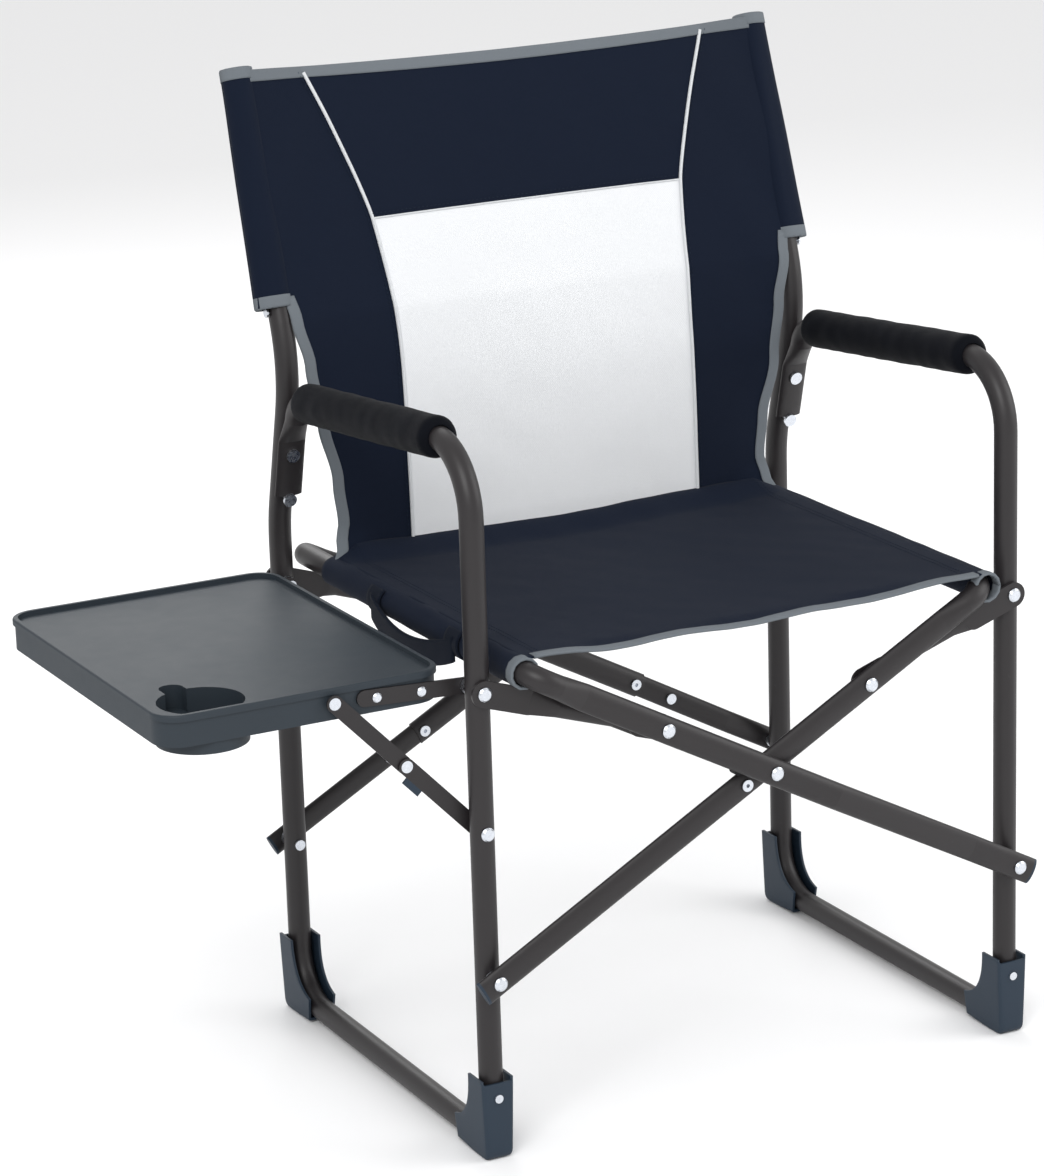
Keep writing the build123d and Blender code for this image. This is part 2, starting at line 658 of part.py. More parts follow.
def brace_lower(front=True):
    """The brace half on the leg."""
    leg, joint, _ = brace_points()
    piece = bar([leg, joint], BRACE, BRACE_LOWER_Y)
    piece -= along_y(*leg, 0, 40, PIN + 2 * RUNNING)
    piece -= along_y(*joint, 0, 40, PIN)
    return piece if front else mirrored_y(piece)


def brace_upper(front=True):
    """The brace half on the table."""
    _, joint, table = brace_points()
    piece = bar([joint, table], BRACE, BRACE_UPPER_Y)
    piece -= along_y(*table, 0, 40, PIN + 2 * RUNNING)
    piece -= along_y(*joint, 0, 40, PIN + 2 * RUNNING)
    return piece if front else mirrored_y(piece)


def brace_leg_rivet(front=True):
    """The rivet that holds a brace to its leg."""
    leg, _, _ = brace_points()
    face = -TUBE / 2 - 0.2
    pin = rivet(*leg, face, BRACE_LOWER_Y) & along_y(*leg, face - 2 * HEAD_HEIGHT, BRACE_LOWER_Y, 2 * HEAD)
    pin += along_y(*leg, BRACE_LOWER_Y, BRACE_LOWER_Y + BRACE[1], PIN)
    return pin if front else mirrored_y(pin)


def brace_joint_rivet(front=True):
    """The rivet of the brace's middle joint, flush in front; it stops short of the upper half."""
    _, joint, _ = brace_points()
    pin = along_y(*joint, BRACE_LOWER_Y, BRACE_LOWER_Y + BRACE[1], PIN)
    pin += along_y(*joint, BRACE_LOWER_Y - FLUSH, BRACE_LOWER_Y, HEAD - 2)
    return pin if front else mirrored_y(pin)


def brace_table_rivet(front=True):
    """The rivet that holds a brace to the table's skirt."""
    _, _, table = brace_points()
    inner = SKIRT_Y + TABLE_WALL
    pin = along_y(*table, BRACE_UPPER_Y, inner, PIN)
    pin += along_y(*table, BRACE_UPPER_Y - FLUSH, BRACE_UPPER_Y, HEAD - 2)
    pin += along_y(*table, inner, inner + BRACKET_HEAD, HEAD - 5)
    return pin if front else mirrored_y(pin)


def brace_catch(front=True):
    """The finger catch under the lower half, beside the joint."""
    leg, joint, _ = brace_points()
    length = hypot(leg[0] - joint[0], leg[1] - joint[1])
    way = Vector((leg[0] - joint[0]) / length, 0, (leg[1] - joint[1]) / length)
    down = Vector(way.Z, 0, -way.X)
    at = Vector(joint[0], BRACE_LOWER_Y + BRACE[1] / 2, joint[1]) + way * 17 + down * (BRACE[0] / 2 + 3)
    block = Plane(origin=at, x_dir=way, z_dir=down) * Box(20, BRACE[1], 6)
    return block if front else mirrored_y(block)


# --- fabric ----------------------------------------------------------------------------------

def seat_sleeve(side, layer):
    """The seat's hem round a rail."""
    x = side * RAIL_X
    start = max(SEAT_FRONT_Y, RAIL_BEND - layer)
    outer = along_y(x, RAIL_Z, start, SEAT_BACK_Y, RAIL + 2 * (SLEEVE_WALL + SLEEVE_EASE))
    return outer - along_y(x, RAIL_Z, start, SEAT_BACK_Y, RAIL + 2 * SLEEVE_EASE)


def seat_sling():
    """The seat between its two hems."""
    edge = RAIL_X - 7
    top = RAIL_Z + RAIL / 2 + SLEEVE_WALL - 1.5
    outline = make_face(Wire([
        Edge.make_three_point_arc((-edge, 0, top), (0, 0, top - SAG), (edge, 0, top)),
        Edge.make_line((edge, 0, top), (edge, 0, top + CLOTH)),
        Edge.make_three_point_arc((edge, 0, top + CLOTH), (0, 0, top + CLOTH - SAG), (-edge, 0, top + CLOTH)),
        Edge.make_line((-edge, 0, top + CLOTH), (-edge, 0, top)),
    ]))
    body = extrude(outline, SEAT_BACK_Y - SEAT_FRONT_Y, dir=(0, 1, 0))
    return Pos(0, SEAT_FRONT_Y, 0) * body


def back_sleeve(x):
    """The back's hem round a post, closed at the top."""
    way = Vector(0, sin(BACK_LEAN), cos(BACK_LEAN))
    foot_point = Vector(x, post_y(BACK_HEM_Z), BACK_HEM_Z)
    length = (BACK_TOP_Z - BACK_HEM_Z) / cos(BACK_LEAN)
    plane = Plane(origin=foot_point, z_dir=way)
    outer = plane * extrude(Circle(TUBE / 2 + SLEEVE_WALL + SLEEVE_EASE), length)
    return outer - plane * extrude(Circle(TUBE / 2 + SLEEVE_EASE), length - 2)


def back_line():
    """The middle of the back panel in (y, z), from the top hem to the seat."""
    knee = (post_y(BACK_HEM_Z), BACK_HEM_Z)
    return [
        (post_y(BACK_TOP_Z) - 2, BACK_TOP_Z),
        (post_y(BACK_HEM_Z + 50), BACK_HEM_Z + 50),
        (knee[0] + 1, knee[1]),
        (knee[0] - 11, knee[1] - 100),
        (BACK_FOOT[0], BACK_FOOT[1] + 60),
        (BACK_FOOT[0], BACK_FOOT[1]),
    ]


def back_panel():
    """The back between its two hems, narrowed at the arms."""
    line = back_line()
    front = Polyline(*[(0, y - CLOTH / 2, z) for y, z in line])
    rear = Polyline(*[(0, y + CLOTH / 2, z) for y, z in reversed(line)])
    ends = [Line(front @ 1, rear @ 0), Line(rear @ 1, front @ 0)]
    strip = make_face(Wire(front.edges() + rear.edges() + ends[0].edges() + ends[1].edges()))
    half = HALF_SPACING - TUBE / 2 - SLEEVE_WALL - GAP
    body = extrude(strip, 2 * half, dir=(1, 0, 0))
    body = Pos(-half, 0, 0) * body
    side = [Vector(half, 0, z) if i == 0 else Vector(w, 0, z) for i, (w, z) in enumerate(BACK_SIDE)]
    right = Spline(*side)
    left = Spline(*[Vector(-p.X, 0, p.Z) for p in side])
    top = [Line((half, 0, BACK_HEM_Z), (half, 0, 1000)), Line((half, 0, 1000), (-half, 0, 1000)),
           Line((-half, 0, 1000), (-half, 0, BACK_HEM_Z))]
    bottom = Line(right @ 1, left @ 1)
    edges = right.edges() + left.edges() + bottom.edges()
    for line_piece in top:
        edges += line_piece.edges()
    outline = extrude(make_face(Wire(edges)), 600, dir=(0, 1, 0))
    return body & outline


def carry_handle():
    """The webbing handle sewn along the left seat hem."""
    x = -RAIL_X - RAIL / 2 - SLEEVE_WALL - 1.2
    low = Box(3.0, HANDLE_Y[1] - HANDLE_Y[0], 22, align=(Align.MAX, Align.MIN, Align.MAX))
    return Pos(x, HANDLE_Y[0], RAIL_Z - 4) * low


# --- assembly --------------------------------------------------------------------------------
nodes = {}


def add(name, shape):
    """Keep one node."""
    nodes[name] = shape


def group(*shapes):
    """Separate solids that share one node."""
    return Compound(children=[Part(s.wrapped) if not isinstance(s, Compound) else s for s in shapes])


def make_side(side, name):
    """The nodes of one side frame."""
    x = side * HALF_SPACING
    left = side < 0
    lows = [low_rivet(side, True), low_rivet(side, False)]
    highs = [high_rivet(side, True), high_rivet(side, False)]
    screws = [foot_screw(x, True), foot_screw(x, False)]
    rivets = arm_rivets(x)
    braces = [brace_leg_rivet(True), brace_leg_rivet(False)] if left else []
    spacers = [low_spacer(side, True), low_spacer(side, False)]
    if left:
        spacers += [bracket_spacer(True), bracket_spacer(False)]
    plug = post_plug(x)
    tube = side_tube(x)
    fabric_z = BACK_HEM_Z + 6
    screw_y = post_y(fabric_z)
    fabric_screw = along_x(screw_y, fabric_z, x + side * (TUBE / 2 - 4), x + side * (TUBE / 2 + 1.8), 3.5)
    fabric_screw += along_x(screw_y, fabric_z, x + side * (TUBE / 2 + 1.8), x + side * (TUBE / 2 + 3.4), 9)
    for cutter in lows + highs + screws + rivets + braces + [plug, fabric_screw]:
        tube -= cutter
    spacers = [s - tube for s in spacers]
    feet = {}
    for place, front in (("front", True), ("rear", False)):
        shoe = foot(x, front) - side_core(x)
        shoe -= screws[0 if front else 1]
        feet[place] = shoe
    add(name + "_side_tube", tube)
    add(name + "_arm_pad", arm_pad(x))
    for place, shoe in feet.items():
        add(name + "_" + place + "_foot", shoe)
    add(name + "_foot_screws", group(*screws))
    add(name + "_arm_rivets", group(*rivets))
    add(name + "_low_rivets", group(*lows))
    add(name + "_high_rivets", group(*highs))
    if left:
        add("brace_leg_rivets", group(*braces))
    add(name + "_spacers", group(*spacers))
    add(name + "_post_plug", plug)
    add(name + "_fabric_screw", fabric_screw)
    add(name + "_back_sleeve", back_sleeve(x) - fabric_screw)


def side_core(x):
    """The side frame tube filled in, for cutting what wraps round it."""
    path = frame_path(x)
    start = Plane(origin=path @ 0, z_dir=path % 0)
    return sweep(start * Circle(TUBE / 2 + 0.1), path=path)


def make_cross(side, name, layer):
    """The nodes of one cross frame; its seat rail is on the other side from its low end."""
    tube = cross_frame(side, layer)
    lower = rear_lower(side, layer)
    plugs = [cross_plug(side, True), cross_plug(side, False)]
    link_rivets = [link_rivet(-side, True), link_rivet(-side, False)]
    splices = splice_rivets(side, layer)
    own = link_rivets + splice_rivets(side, layer, True)
    x = side * HALF_SPACING
    bores = [along_y(x, LOW_PIVOT_Z, -60, DEPTH + 60, PIN + 2 * RUNNING)]
    if side > 0:
        bores.append(along_y(0, CENTRE_Z, -60, DEPTH + 60, PIN + 2 * RUNNING))
    else:
        own += [centre_rivet(True), centre_rivet(False), bumper_rivet(True)]
    for cutter in own + bores:
        tube -= cutter
        lower -= cutter
    plugs = [p - bores[0] for p in plugs]
    add(name + "_tube", tube)
    add(name + "_rear_lower_tube", lower)
    add(name + "_end_plugs", group(*plugs))
    add(name + "_rivets", group(*link_rivets, *splices))
    add(("left" if side > 0 else "right") + "_seat_sleeve", seat_sleeve(-side, layer))


def make_table():
    """The nodes of the side table and its braces."""
    table = table_top()
    rivets = [bracket_rivet(x, front) for x in BRACKET_RIVETS for front in (True, False)]
    tops = [brace_table_rivet(True), brace_table_rivet(False)]
    brackets = [table_bracket(True), table_bracket(False)]
    for cutter in rivets + tops:
        table -= cutter
        brackets = [b - cutter for b in brackets]
    add("table_top", table)
    add("table_front_bracket", brackets[0])
    add("table_rear_bracket", brackets[1])
    add("bracket_rivets", group(*rivets))
    add("brace_table_rivets", group(*tops))
    for place, front in (("front", True), ("rear", False)):
        lower = brace_lower(front)
        catch = brace_catch(front) - lower
        add(place + "_brace_lower", lower)
        add(place + "_brace_upper", brace_upper(front))
        add(place + "_brace_joint_rivet", brace_joint_rivet(front))
        add(place + "_brace_catch", catch)


make_side(-1, "left")
make_side(1, "right")
make_cross(1, "cross_a", FRONT_LAYER)
make_cross(-1, "cross_b", BACK_LAYER)
add("centre_rivets", group(centre_rivet(True), centre_rivet(False)))
add("centre_spacers", group(centre_spacer(True), centre_spacer(False)))
add("fold_bumper", fold_bumper())
add("bumper_rivet", bumper_rivet())
for end, is_front in (("front", True), ("rear", False)):
    add(end + "_left_link", link(-1, is_front))
    add(end + "_right_link", link(1, is_front))
make_table()
add("seat_sling", seat_sling())
add("back_panel", back_panel())
add("carry_handle", carry_handle())

low_corner = Vector(1e9, 1e9, 1e9)
high_corner = Vector(-1e9, -1e9, -1e9)
for shape in nodes.values():
    box = shape.bounding_box()
    low_corner = Vector(*(min(a, b) for a, b in zip(low_corner, box.min)))
    high_corner = Vector(*(max(a, b) for a, b in zip(high_corner, box.max)))
ORIGIN = Vector((low_corner.X + high_corner.X) / 2, (low_corner.Y + high_corner.Y) / 2, low_corner.Z)

os.makedirs("parts", exist_ok=True)
for node_name, shape in nodes.items():
    export_step(Location(-ORIGIN) * shape, "parts/" + node_name + ".step")
print("nodes", len(nodes), "origin", ORIGIN, "box", low_corner, high_corner)
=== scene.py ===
"""Looks of a folding director chair with a hinged side table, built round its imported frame.

Lengths are in metres, +X runs from the table to the other arm, +Y to the back and +Z up.
"""
from __future__ import annotations

import json
import logging
import math
from dataclasses import dataclass, field
from enum import Enum
from typing import Any, Callable, Sequence

import bmesh
import bpy
from mathutils import Matrix, Vector, noise

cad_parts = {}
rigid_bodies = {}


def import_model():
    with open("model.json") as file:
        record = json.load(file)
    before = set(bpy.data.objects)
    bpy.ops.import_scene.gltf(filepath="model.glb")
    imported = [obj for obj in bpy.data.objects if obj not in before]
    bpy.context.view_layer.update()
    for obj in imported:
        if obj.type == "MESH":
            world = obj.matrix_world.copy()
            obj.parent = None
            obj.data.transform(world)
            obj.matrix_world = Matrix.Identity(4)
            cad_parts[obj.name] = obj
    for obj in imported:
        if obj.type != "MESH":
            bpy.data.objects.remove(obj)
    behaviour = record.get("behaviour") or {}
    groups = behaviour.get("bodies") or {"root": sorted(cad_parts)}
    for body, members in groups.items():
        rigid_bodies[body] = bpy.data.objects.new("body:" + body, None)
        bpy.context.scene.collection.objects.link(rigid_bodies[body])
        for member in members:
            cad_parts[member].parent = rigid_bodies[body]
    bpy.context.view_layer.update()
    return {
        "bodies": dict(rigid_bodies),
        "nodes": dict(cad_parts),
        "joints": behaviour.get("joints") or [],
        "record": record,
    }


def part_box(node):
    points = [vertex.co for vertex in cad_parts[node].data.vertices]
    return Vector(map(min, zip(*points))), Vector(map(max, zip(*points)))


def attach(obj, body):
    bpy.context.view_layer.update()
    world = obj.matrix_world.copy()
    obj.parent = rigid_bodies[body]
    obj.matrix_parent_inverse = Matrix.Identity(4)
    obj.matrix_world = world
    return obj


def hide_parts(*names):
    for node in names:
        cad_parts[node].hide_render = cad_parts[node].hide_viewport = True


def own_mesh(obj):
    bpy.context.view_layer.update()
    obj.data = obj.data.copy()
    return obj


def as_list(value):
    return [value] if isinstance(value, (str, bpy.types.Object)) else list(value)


LOG = logging.getLogger("director_chair")
MM = 0.001
Shape = Callable[[float, float], Vector]


class Body(Enum):
    """The moving bodies that new pieces ride on."""

    LEFT_SIDE = "left_side"
    RIGHT_SIDE = "right_side"
    CROSS_A = "cross_a"
    CROSS_B = "cross_b"
    SEAT = "seat"


class Edge(Enum):
    """The four edges of a cloth grid."""

    LEFT = "left"
    RIGHT = "right"
    NEAR = "near"
    FAR = "far"


# --- shader helpers --------------------------------------------------------------------------


class Value:
    """A shader socket that does arithmetic with numbers and other sockets."""

    def __init__(self, recipe: "Recipe", socket: Any) -> None:
        """Keep the socket and the material it belongs to."""
        self.recipe = recipe
        self.socket = socket

    def maths(self, operation: str, *others: Any) -> "Value":
        """Add a Math node that takes this value first."""
        inputs = dict(enumerate((self,) + others))
        return self.recipe.add("ShaderNodeMath", {"operation": operation}, inputs).out()

    def __add__(self, other: Any) -> "Value":
        """Sum."""
        return self.maths("ADD", other)

    __radd__ = __add__

    def __mul__(self, other: Any) -> "Value":
        """Product."""
        return self.maths("MULTIPLY", other)

    __rmul__ = __mul__

    def sine(self) -> "Value":
        """Sine of the value in radians."""
        return self.maths("SINE")


class Added:
    """A node that has just been added."""

    def __init__(self, recipe: "Recipe", node: Any) -> None:
        """Keep the node and its material."""
        self.recipe = recipe
        self.node = node

    def out(self, name: str | int = 0) -> Value:
        """One of the node's outputs."""
        return Value(self.recipe, self.node.outputs[name])


class Recipe:
    """A node material under construction, with its Principled shader."""

    def __init__(self, name: str) -> None:
        """Start an empty material.

        Args:
            name: the material's name.
        """
        self.material = bpy.data.materials.new(name)
        self.material.use_nodes = True
        self.nodes = self.material.node_tree.nodes
        self.links = self.material.node_tree.links
        self.shader = self.nodes["Principled BSDF"]

    def add(self, kind: str, settings: dict[str, Any] | None = None,
            inputs: dict[Any, Any] | None = None) -> Added:
        """Add a node, set it and feed it.

        Args:
            kind: the node's type.
            settings: attributes that are set before anything is linked.
            inputs: values or sockets by input name or number.

        Returns:
            The new node.
        """
        node = self.nodes.new(kind)
        for key, setting in (settings or {}).items():
            setattr(node, key, setting)
        for key, feed in (inputs or {}).items():
            self.feed(node.inputs[key], feed)
        return Added(self, node)

    def feed(self, socket: Any, feed: Any) -> None:
        """Link a value to a socket, or set the socket to a constant."""
        if isinstance(feed, Value):
            self.links.new(feed.socket, socket)
        else:
            socket.default_value = feed

    def set(self, **inputs: Any) -> None:
        """Set or link inputs of the shader, with underscores for the blanks in their names."""
        for key, feed in inputs.items():
            self.feed(self.shader.inputs[key.replace("_", " ")], feed)

    def place(self, kind: str = "Object") -> Value:
        """Texture coordinates of one kind."""
        return self.add("ShaderNodeTexCoord").out(kind)

    def noise(self, where: Value, scale: float, detail: float = 3.0) -> Value:
        """A grey noise of a scale."""
        inputs = {"Vector": where, "Scale": scale, "Detail": detail, "Roughness": 0.55}
        return self.add("ShaderNodeTexNoise", None, inputs).out(0)

    def blend(self, factor: Value, low: Sequence[float] | Value, high: Sequence[float] | Value) -> Value:
        """Mix two colours by a factor.

        Args:
            factor: how much of the second colour shows.
            low: the first colour, as numbers or a socket.
            high: the second colour.

        Returns:
            The mixed colour.
        """
        mix = self.add("ShaderNodeMix", {"data_type": "RGBA"})
        self.feed(mix.node.inputs[0], factor)
        self.feed(mix.node.inputs[6], (*low, 1.0) if not isinstance(low, Value) else low)
        self.feed(mix.node.inputs[7], (*high, 1.0) if not isinstance(high, Value) else high)
        return mix.out(2)

    def ramp(self, factor: Value, low: float, high: float) -> Value:
        """A smooth step of the factor between two levels."""
        settings = {"interpolation_type": "SMOOTHSTEP"}
        inputs = {"Value": factor, "From Min": low, "From Max": high}
        return self.add("ShaderNodeMapRange", settings, inputs).out(0)

    def bump(self, height: Value, distance: float, strength: float = 1.0,
             under: Value | None = None) -> Value:
        """A bump from a height.

        Args:
            height: the height's pattern.
            distance: depth of the pattern.
            strength: how much of it shows.
            under: a bump that this one lies on.

        Returns:
            The bumped normal.
        """
        inputs: dict[str, Any] = {"Height": height, "Distance": distance, "Strength": strength}
        if under is not None:
            inputs["Normal"] = under
        return self.add("ShaderNodeBump", None, inputs).out(0)


def scaled(colour: Sequence[float], factor: float) -> tuple[float, ...]:
    """A colour made lighter or darker."""
    return tuple(min(1.0, c * factor) for c in colour)


# --- finishes --------------------------------------------------------------------------------


@dataclass(frozen=True)
class PowderCoat:
    """Dark, faintly orange-peeled powder coat on steel tube."""

    name: str = "brown_black_powder_coat"
    colour: tuple[float, float, float] = (0.0165, 0.0142, 0.0152)

    def build(self) -> bpy.types.Material:
        """Make the material."""
        r = Recipe(self.name)
        where = r.place()
        cloud = r.noise(where, 9.0)
        fine = r.noise(where, 900.0, 2.0)
        scuff = r.ramp(r.noise(where, 160.0, 6.0), 0.66, 0.74)
        base = r.blend(cloud, scaled(self.colour, 0.86), scaled(self.colour, 1.14))
        r.set(Base_Color=r.blend(scuff * 0.25, base, scaled(self.colour, 2.4)))
        r.set(Roughness=cloud * 0.12 + fine * 0.06 + 0.34)
        r.set(Normal=r.bump(fine, 0.00006, 0.5))
        r.set(Specular_IOR_Level=0.4)
        return r.material


@dataclass(frozen=True)
class Zinc:
    """Bright zinc plate on rivets and screws."""

    name: str = "bright_zinc"
    colour: tuple[float, float, float] = (0.66, 0.69, 0.74)

    def build(self) -> bpy.types.Material:
        """Make the material."""
        r = Recipe(self.name)
        where = r.place()
        cloud = r.noise(where, 320.0, 4.0)
        fine = r.noise(where, 2600.0, 2.0)
        r.set(Base_Color=r.blend(cloud, scaled(self.colour, 0.82), scaled(self.colour, 1.15)))
        r.set(Metallic=1.0, Roughness=cloud * 0.16 + 0.2)
        r.set(Normal=r.bump(fine, 0.00004, 0.4))
        return r.material


@dataclass(frozen=True)
class Moulding:
    """Moulded plastic with a fine spark-eroded grain."""

    name: str
    colour: tuple[float, float, float]
    grain: float = 1500.0
    rough: float = 0.46

    def build(self) -> bpy.types.Material:
        """Make the material."""
        r = Recipe(self.name)
        where = r.place()
        cloud = r.noise(where, 7.0)
        grain = r.noise(where, self.grain, 3.0)
        mottle = r.noise(where, 60.0, 4.0)
        base = r.blend(cloud, scaled(self.colour, 0.9), scaled(self.colour, 1.1))
        r.set(Base_Color=r.blend(mottle * 0.3, base, scaled(self.colour, 1.22)))
        r.set(Roughness=cloud * 0.1 + mottle * 0.08 + self.rough)
        r.set(Normal=r.bump(grain, 0.00014, 0.55), Specular_IOR_Level=0.3)
        return r.material


@dataclass(frozen=True)
class Woven:
    """Plain-woven cloth: two sets of threads that cross over and under each other."""

    name: str
    colour: tuple[float, float, float]
    thread: float = 0.0009
    depth: float = 0.00022
    sheen: float = 0.02
    gloss: float = 0.12
    rough: float = 0.82
    crumple: float = 0.0012

    def build(self) -> bpy.types.Material:
        """Make the material; the cloth's UV map is in metres."""
        r = Recipe(self.name)
        uv = r.place("UV")
        parts = r.add("ShaderNodeSeparateXYZ", None, {0: uv})
        turn = 2 * math.pi / self.thread
        warp = (parts.out(0) * turn).sine()
        weft = (parts.out(1) * turn).sine()
        weave_relief_and_shade = warp * weft * 0.5 + 0.5
        cloud = r.noise(r.place(), 5.0)
        slub = r.noise(uv, 420.0, 2.0)
        soft = r.noise(r.place(), 26.0, 3.0)
        tone = r.blend(cloud, scaled(self.colour, 0.88), scaled(self.colour, 1.12))
        # Base colour drops to 0.8 of the cloth colour where the weave dips: painted shade between the
        # threads; the slub share and the cloud are random yarn tone.
        r.set(Base_Color=r.blend(weave_relief_and_shade * 0.35 + slub * 0.2, scaled(self.colour, 0.8), tone))
        r.set(Roughness=slub * 0.08 + self.rough)
        r.set(Normal=r.bump(weave_relief_and_shade + slub * 0.3, self.depth, 0.7, r.bump(soft, self.crumple, 0.35)))
        r.set(Sheen_Weight=self.sheen, Sheen_Roughness=0.5, Specular_IOR_Level=self.gloss)
        return r.material


@dataclass(frozen=True)
class Velour:
    """Short-piled cover of the arm grips."""

    name: str = "velour_cover"
    colour: tuple[float, float, float] = (0.0022, 0.0028, 0.0048)

    def build(self) -> bpy.types.Material:
        """Make the material."""
        r = Recipe(self.name)
        where = r.place()
        cloud = r.noise(where, 30.0)
        pile = r.noise(where, 1900.0, 2.0)
        r.set(Base_Color=r.blend(cloud, scaled(self.colour, 0.7), scaled(self.colour, 1.6)))
        r.set(Roughness=pile * 0.1 + 0.85)
        r.set(Normal=r.bump(pile, 0.0005, 0.8, r.bump(cloud, 0.0016, 0.3)))
        r.set(Sheen_Weight=0.06, Sheen_Roughness=0.35, Specular_IOR_Level=0.1)
        return r.material


@dataclass(frozen=True)
class Ground:
    """Plain pale studio floor."""

    name: str = "pale_floor"

    def build(self) -> bpy.types.Material:
        """Make the material."""
        r = Recipe(self.name)
        r.set(Base_Color=(0.93, 0.93, 0.935, 1.0), Roughness=0.9)
        r.set(Specular_IOR_Level=0.1)
        return r.material


@dataclass
class Finishes:
    """Every material of the chair, built once."""

    frame: bpy.types.Material = field(default_factory=lambda: PowderCoat().build())
    zinc: bpy.types.Material = field(default_factory=lambda: Zinc().build())
    table: bpy.types.Material = field(
        default_factory=lambda: Moulding("slate_table_plastic", (0.021, 0.029, 0.0375)).build())
    shoe: bpy.types.Material = field(
        default_factory=lambda: Moulding("blue_grey_shoe_plastic", (0.0155, 0.0275, 0.044), 1100.0,
                                         0.42).build())
    rubber: bpy.types.Material = field(
        default_factory=lambda: Moulding("black_rubber", (0.012, 0.012, 0.013), 900.0, 0.6).build())
    navy: bpy.types.Material = field(
        default_factory=lambda: Woven("navy_polyester", (0.0052, 0.0098, 0.0235)).build())
    white: bpy.types.Material = field(
        default_factory=lambda: Woven("white_panel_cloth", (0.86, 0.875, 0.895), 0.0016, 0.0003, rough=0.7,
                                      crumple=0.0006).build())
    grey: bpy.types.Material = field(
        default_factory=lambda: Woven("grey_binding_tape", (0.165, 0.185, 0.205), 0.0012, 0.0003).build())
    piping: bpy.types.Material = field(
        default_factory=lambda: Woven("white_piping", (0.80, 0.82, 0.84), 0.0008, 0.0002).build())
    webbing: bpy.types.Material = field(
        default_factory=lambda: Woven("navy_webbing", (0.0042, 0.0075, 0.0165), 0.0020, 0.0005).build())
    thread: bpy.types.Material = field(
        default_factory=lambda: Woven("navy_thread", (0.012, 0.019, 0.036), 0.0004, 0.0001).build())
    velour: bpy.types.Material = field(default_factory=lambda: Velour().build())

    def of_slot(self, slot: str) -> bpy.types.Material:
        """The material of a record's slot."""
        table = {
            "frame_paint": self.frame,
            "zinc_steel": self.zinc,
            "table_plastic": self.table,
            "foot_plastic": self.shoe,
            "black_rubber": self.rubber,
            "arm_foam": self.velour,
            "navy_fabric": self.navy,
        }
        return table[slot]


# --- mesh helpers ----------------------------------------------------------------------------


def smooth_step(t: float) -> float:
    """Ease from 0 to 1."""
    t = min(max(t, 0.0), 1.0)
    return t * t * (3 - 2 * t)


def centre(node: str) -> Vector:
    """The middle of a node's box."""
    low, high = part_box(node)
    return (Vector(low) + Vector(high)) / 2


def flat_grid(counts: tuple[int, int]) -> bmesh.types.BMesh:
    """A flat grid over the unit square, centred on the origin, with a number of columns and rows."""
    bm = bmesh.new()
    bmesh.ops.create_grid(bm, x_segments=counts[0], y_segments=counts[1], size=0.5)
    return bm


def bend(bm: bmesh.types.BMesh, shape: Shape) -> None:
    """Move each vertex of a flat grid to its place on a shape."""
    for vert in bm.verts:
        vert.co = shape(vert.co.x + 0.5, vert.co.y + 0.5)


def new_object(name: str, bm: bmesh.types.BMesh,
               materials: Sequence[bpy.types.Material]) -> bpy.types.Object:
    """Turn a bmesh into a smooth-shaded object of the scene.

    Args:
        name: the piece's name.
        bm: its mesh, which is freed.
        materials: its material slots.

    Returns:
        The object, at the origin.
    """
    mesh = bpy.data.meshes.new(name)
    for face in bm.faces:
        face.smooth = True
    bm.to_mesh(mesh)
    bm.free()
    obj = bpy.data.objects.new(name, mesh)
    bpy.context.scene.collection.objects.link(obj)
    for material in materials:
        mesh.materials.append(material)
    return obj


def cloth_grid(name: str, shape: Shape, counts: tuple[int, int], metres: tuple[float, float],
               materials: Sequence[bpy.types.Material], thickness: float,
               chooser: Callable[[float, float], int] | None = None) -> bpy.types.Object:
    """A grid bent into a sheet, with a UV map in metres.

    Args:
        name: the piece's name.
        shape: the place of each point of the unit square.
        counts: columns and rows.
        metres: size of the flat cloth, for the UV map.
        materials: material slots.
        thickness: cloth thickness.
        chooser: slot number at a point of the unit square.

    Returns:
        The sheet, with a live Solidify modifier.
    """
    bm = flat_grid(counts)
    layer = bm.loops.layers.uv.new("cloth")
    for face in bm.faces:
        middle = face.calc_center_median()
        if chooser is not None:
            face.material_index = chooser(middle.x + 0.5, middle.y + 0.5)
        for loop in face.loops:
            u, v = loop.vert.co.x + 0.5, loop.vert.co.y + 0.5
            loop[layer].uv = (u * metres[0], v * metres[1])
    bend(bm, shape)
    obj = new_object(name, bm, materials)
    solid = obj.modifiers.new("thickness", "SOLIDIFY")
    solid.thickness = thickness
    solid.offset = 0.0
    return obj


def edge_frame(shape: Shape, edge: Edge, t: float) -> tuple[Vector, Vector, Vector]:
    """Where and how a sheet's edge runs.

    Args:
        shape: the sheet.
        edge: which of its edges.
        t: how far along the edge, from 0 to 1.

    Returns:
        A point of the edge, the way into the sheet and the sheet's normal there.
    """
    step = 0.004
    if edge is Edge.LEFT:
        here, inner, ahead = shape(0, t), shape(step, t), shape(0, t + step)
    elif edge is Edge.RIGHT:
        here, inner, ahead = shape(1, t), shape(1 - step, t), shape(1, t + step)
    elif edge is Edge.NEAR:
        here, inner, ahead = shape(t, 0), shape(t, step), shape(t + step, 0)
    else:
        here, inner, ahead = shape(t, 1), shape(t, 1 - step), shape(t + step, 1)
    inward = (inner - here).normalized()
    return here, inward, inward.cross(ahead - here).normalized()


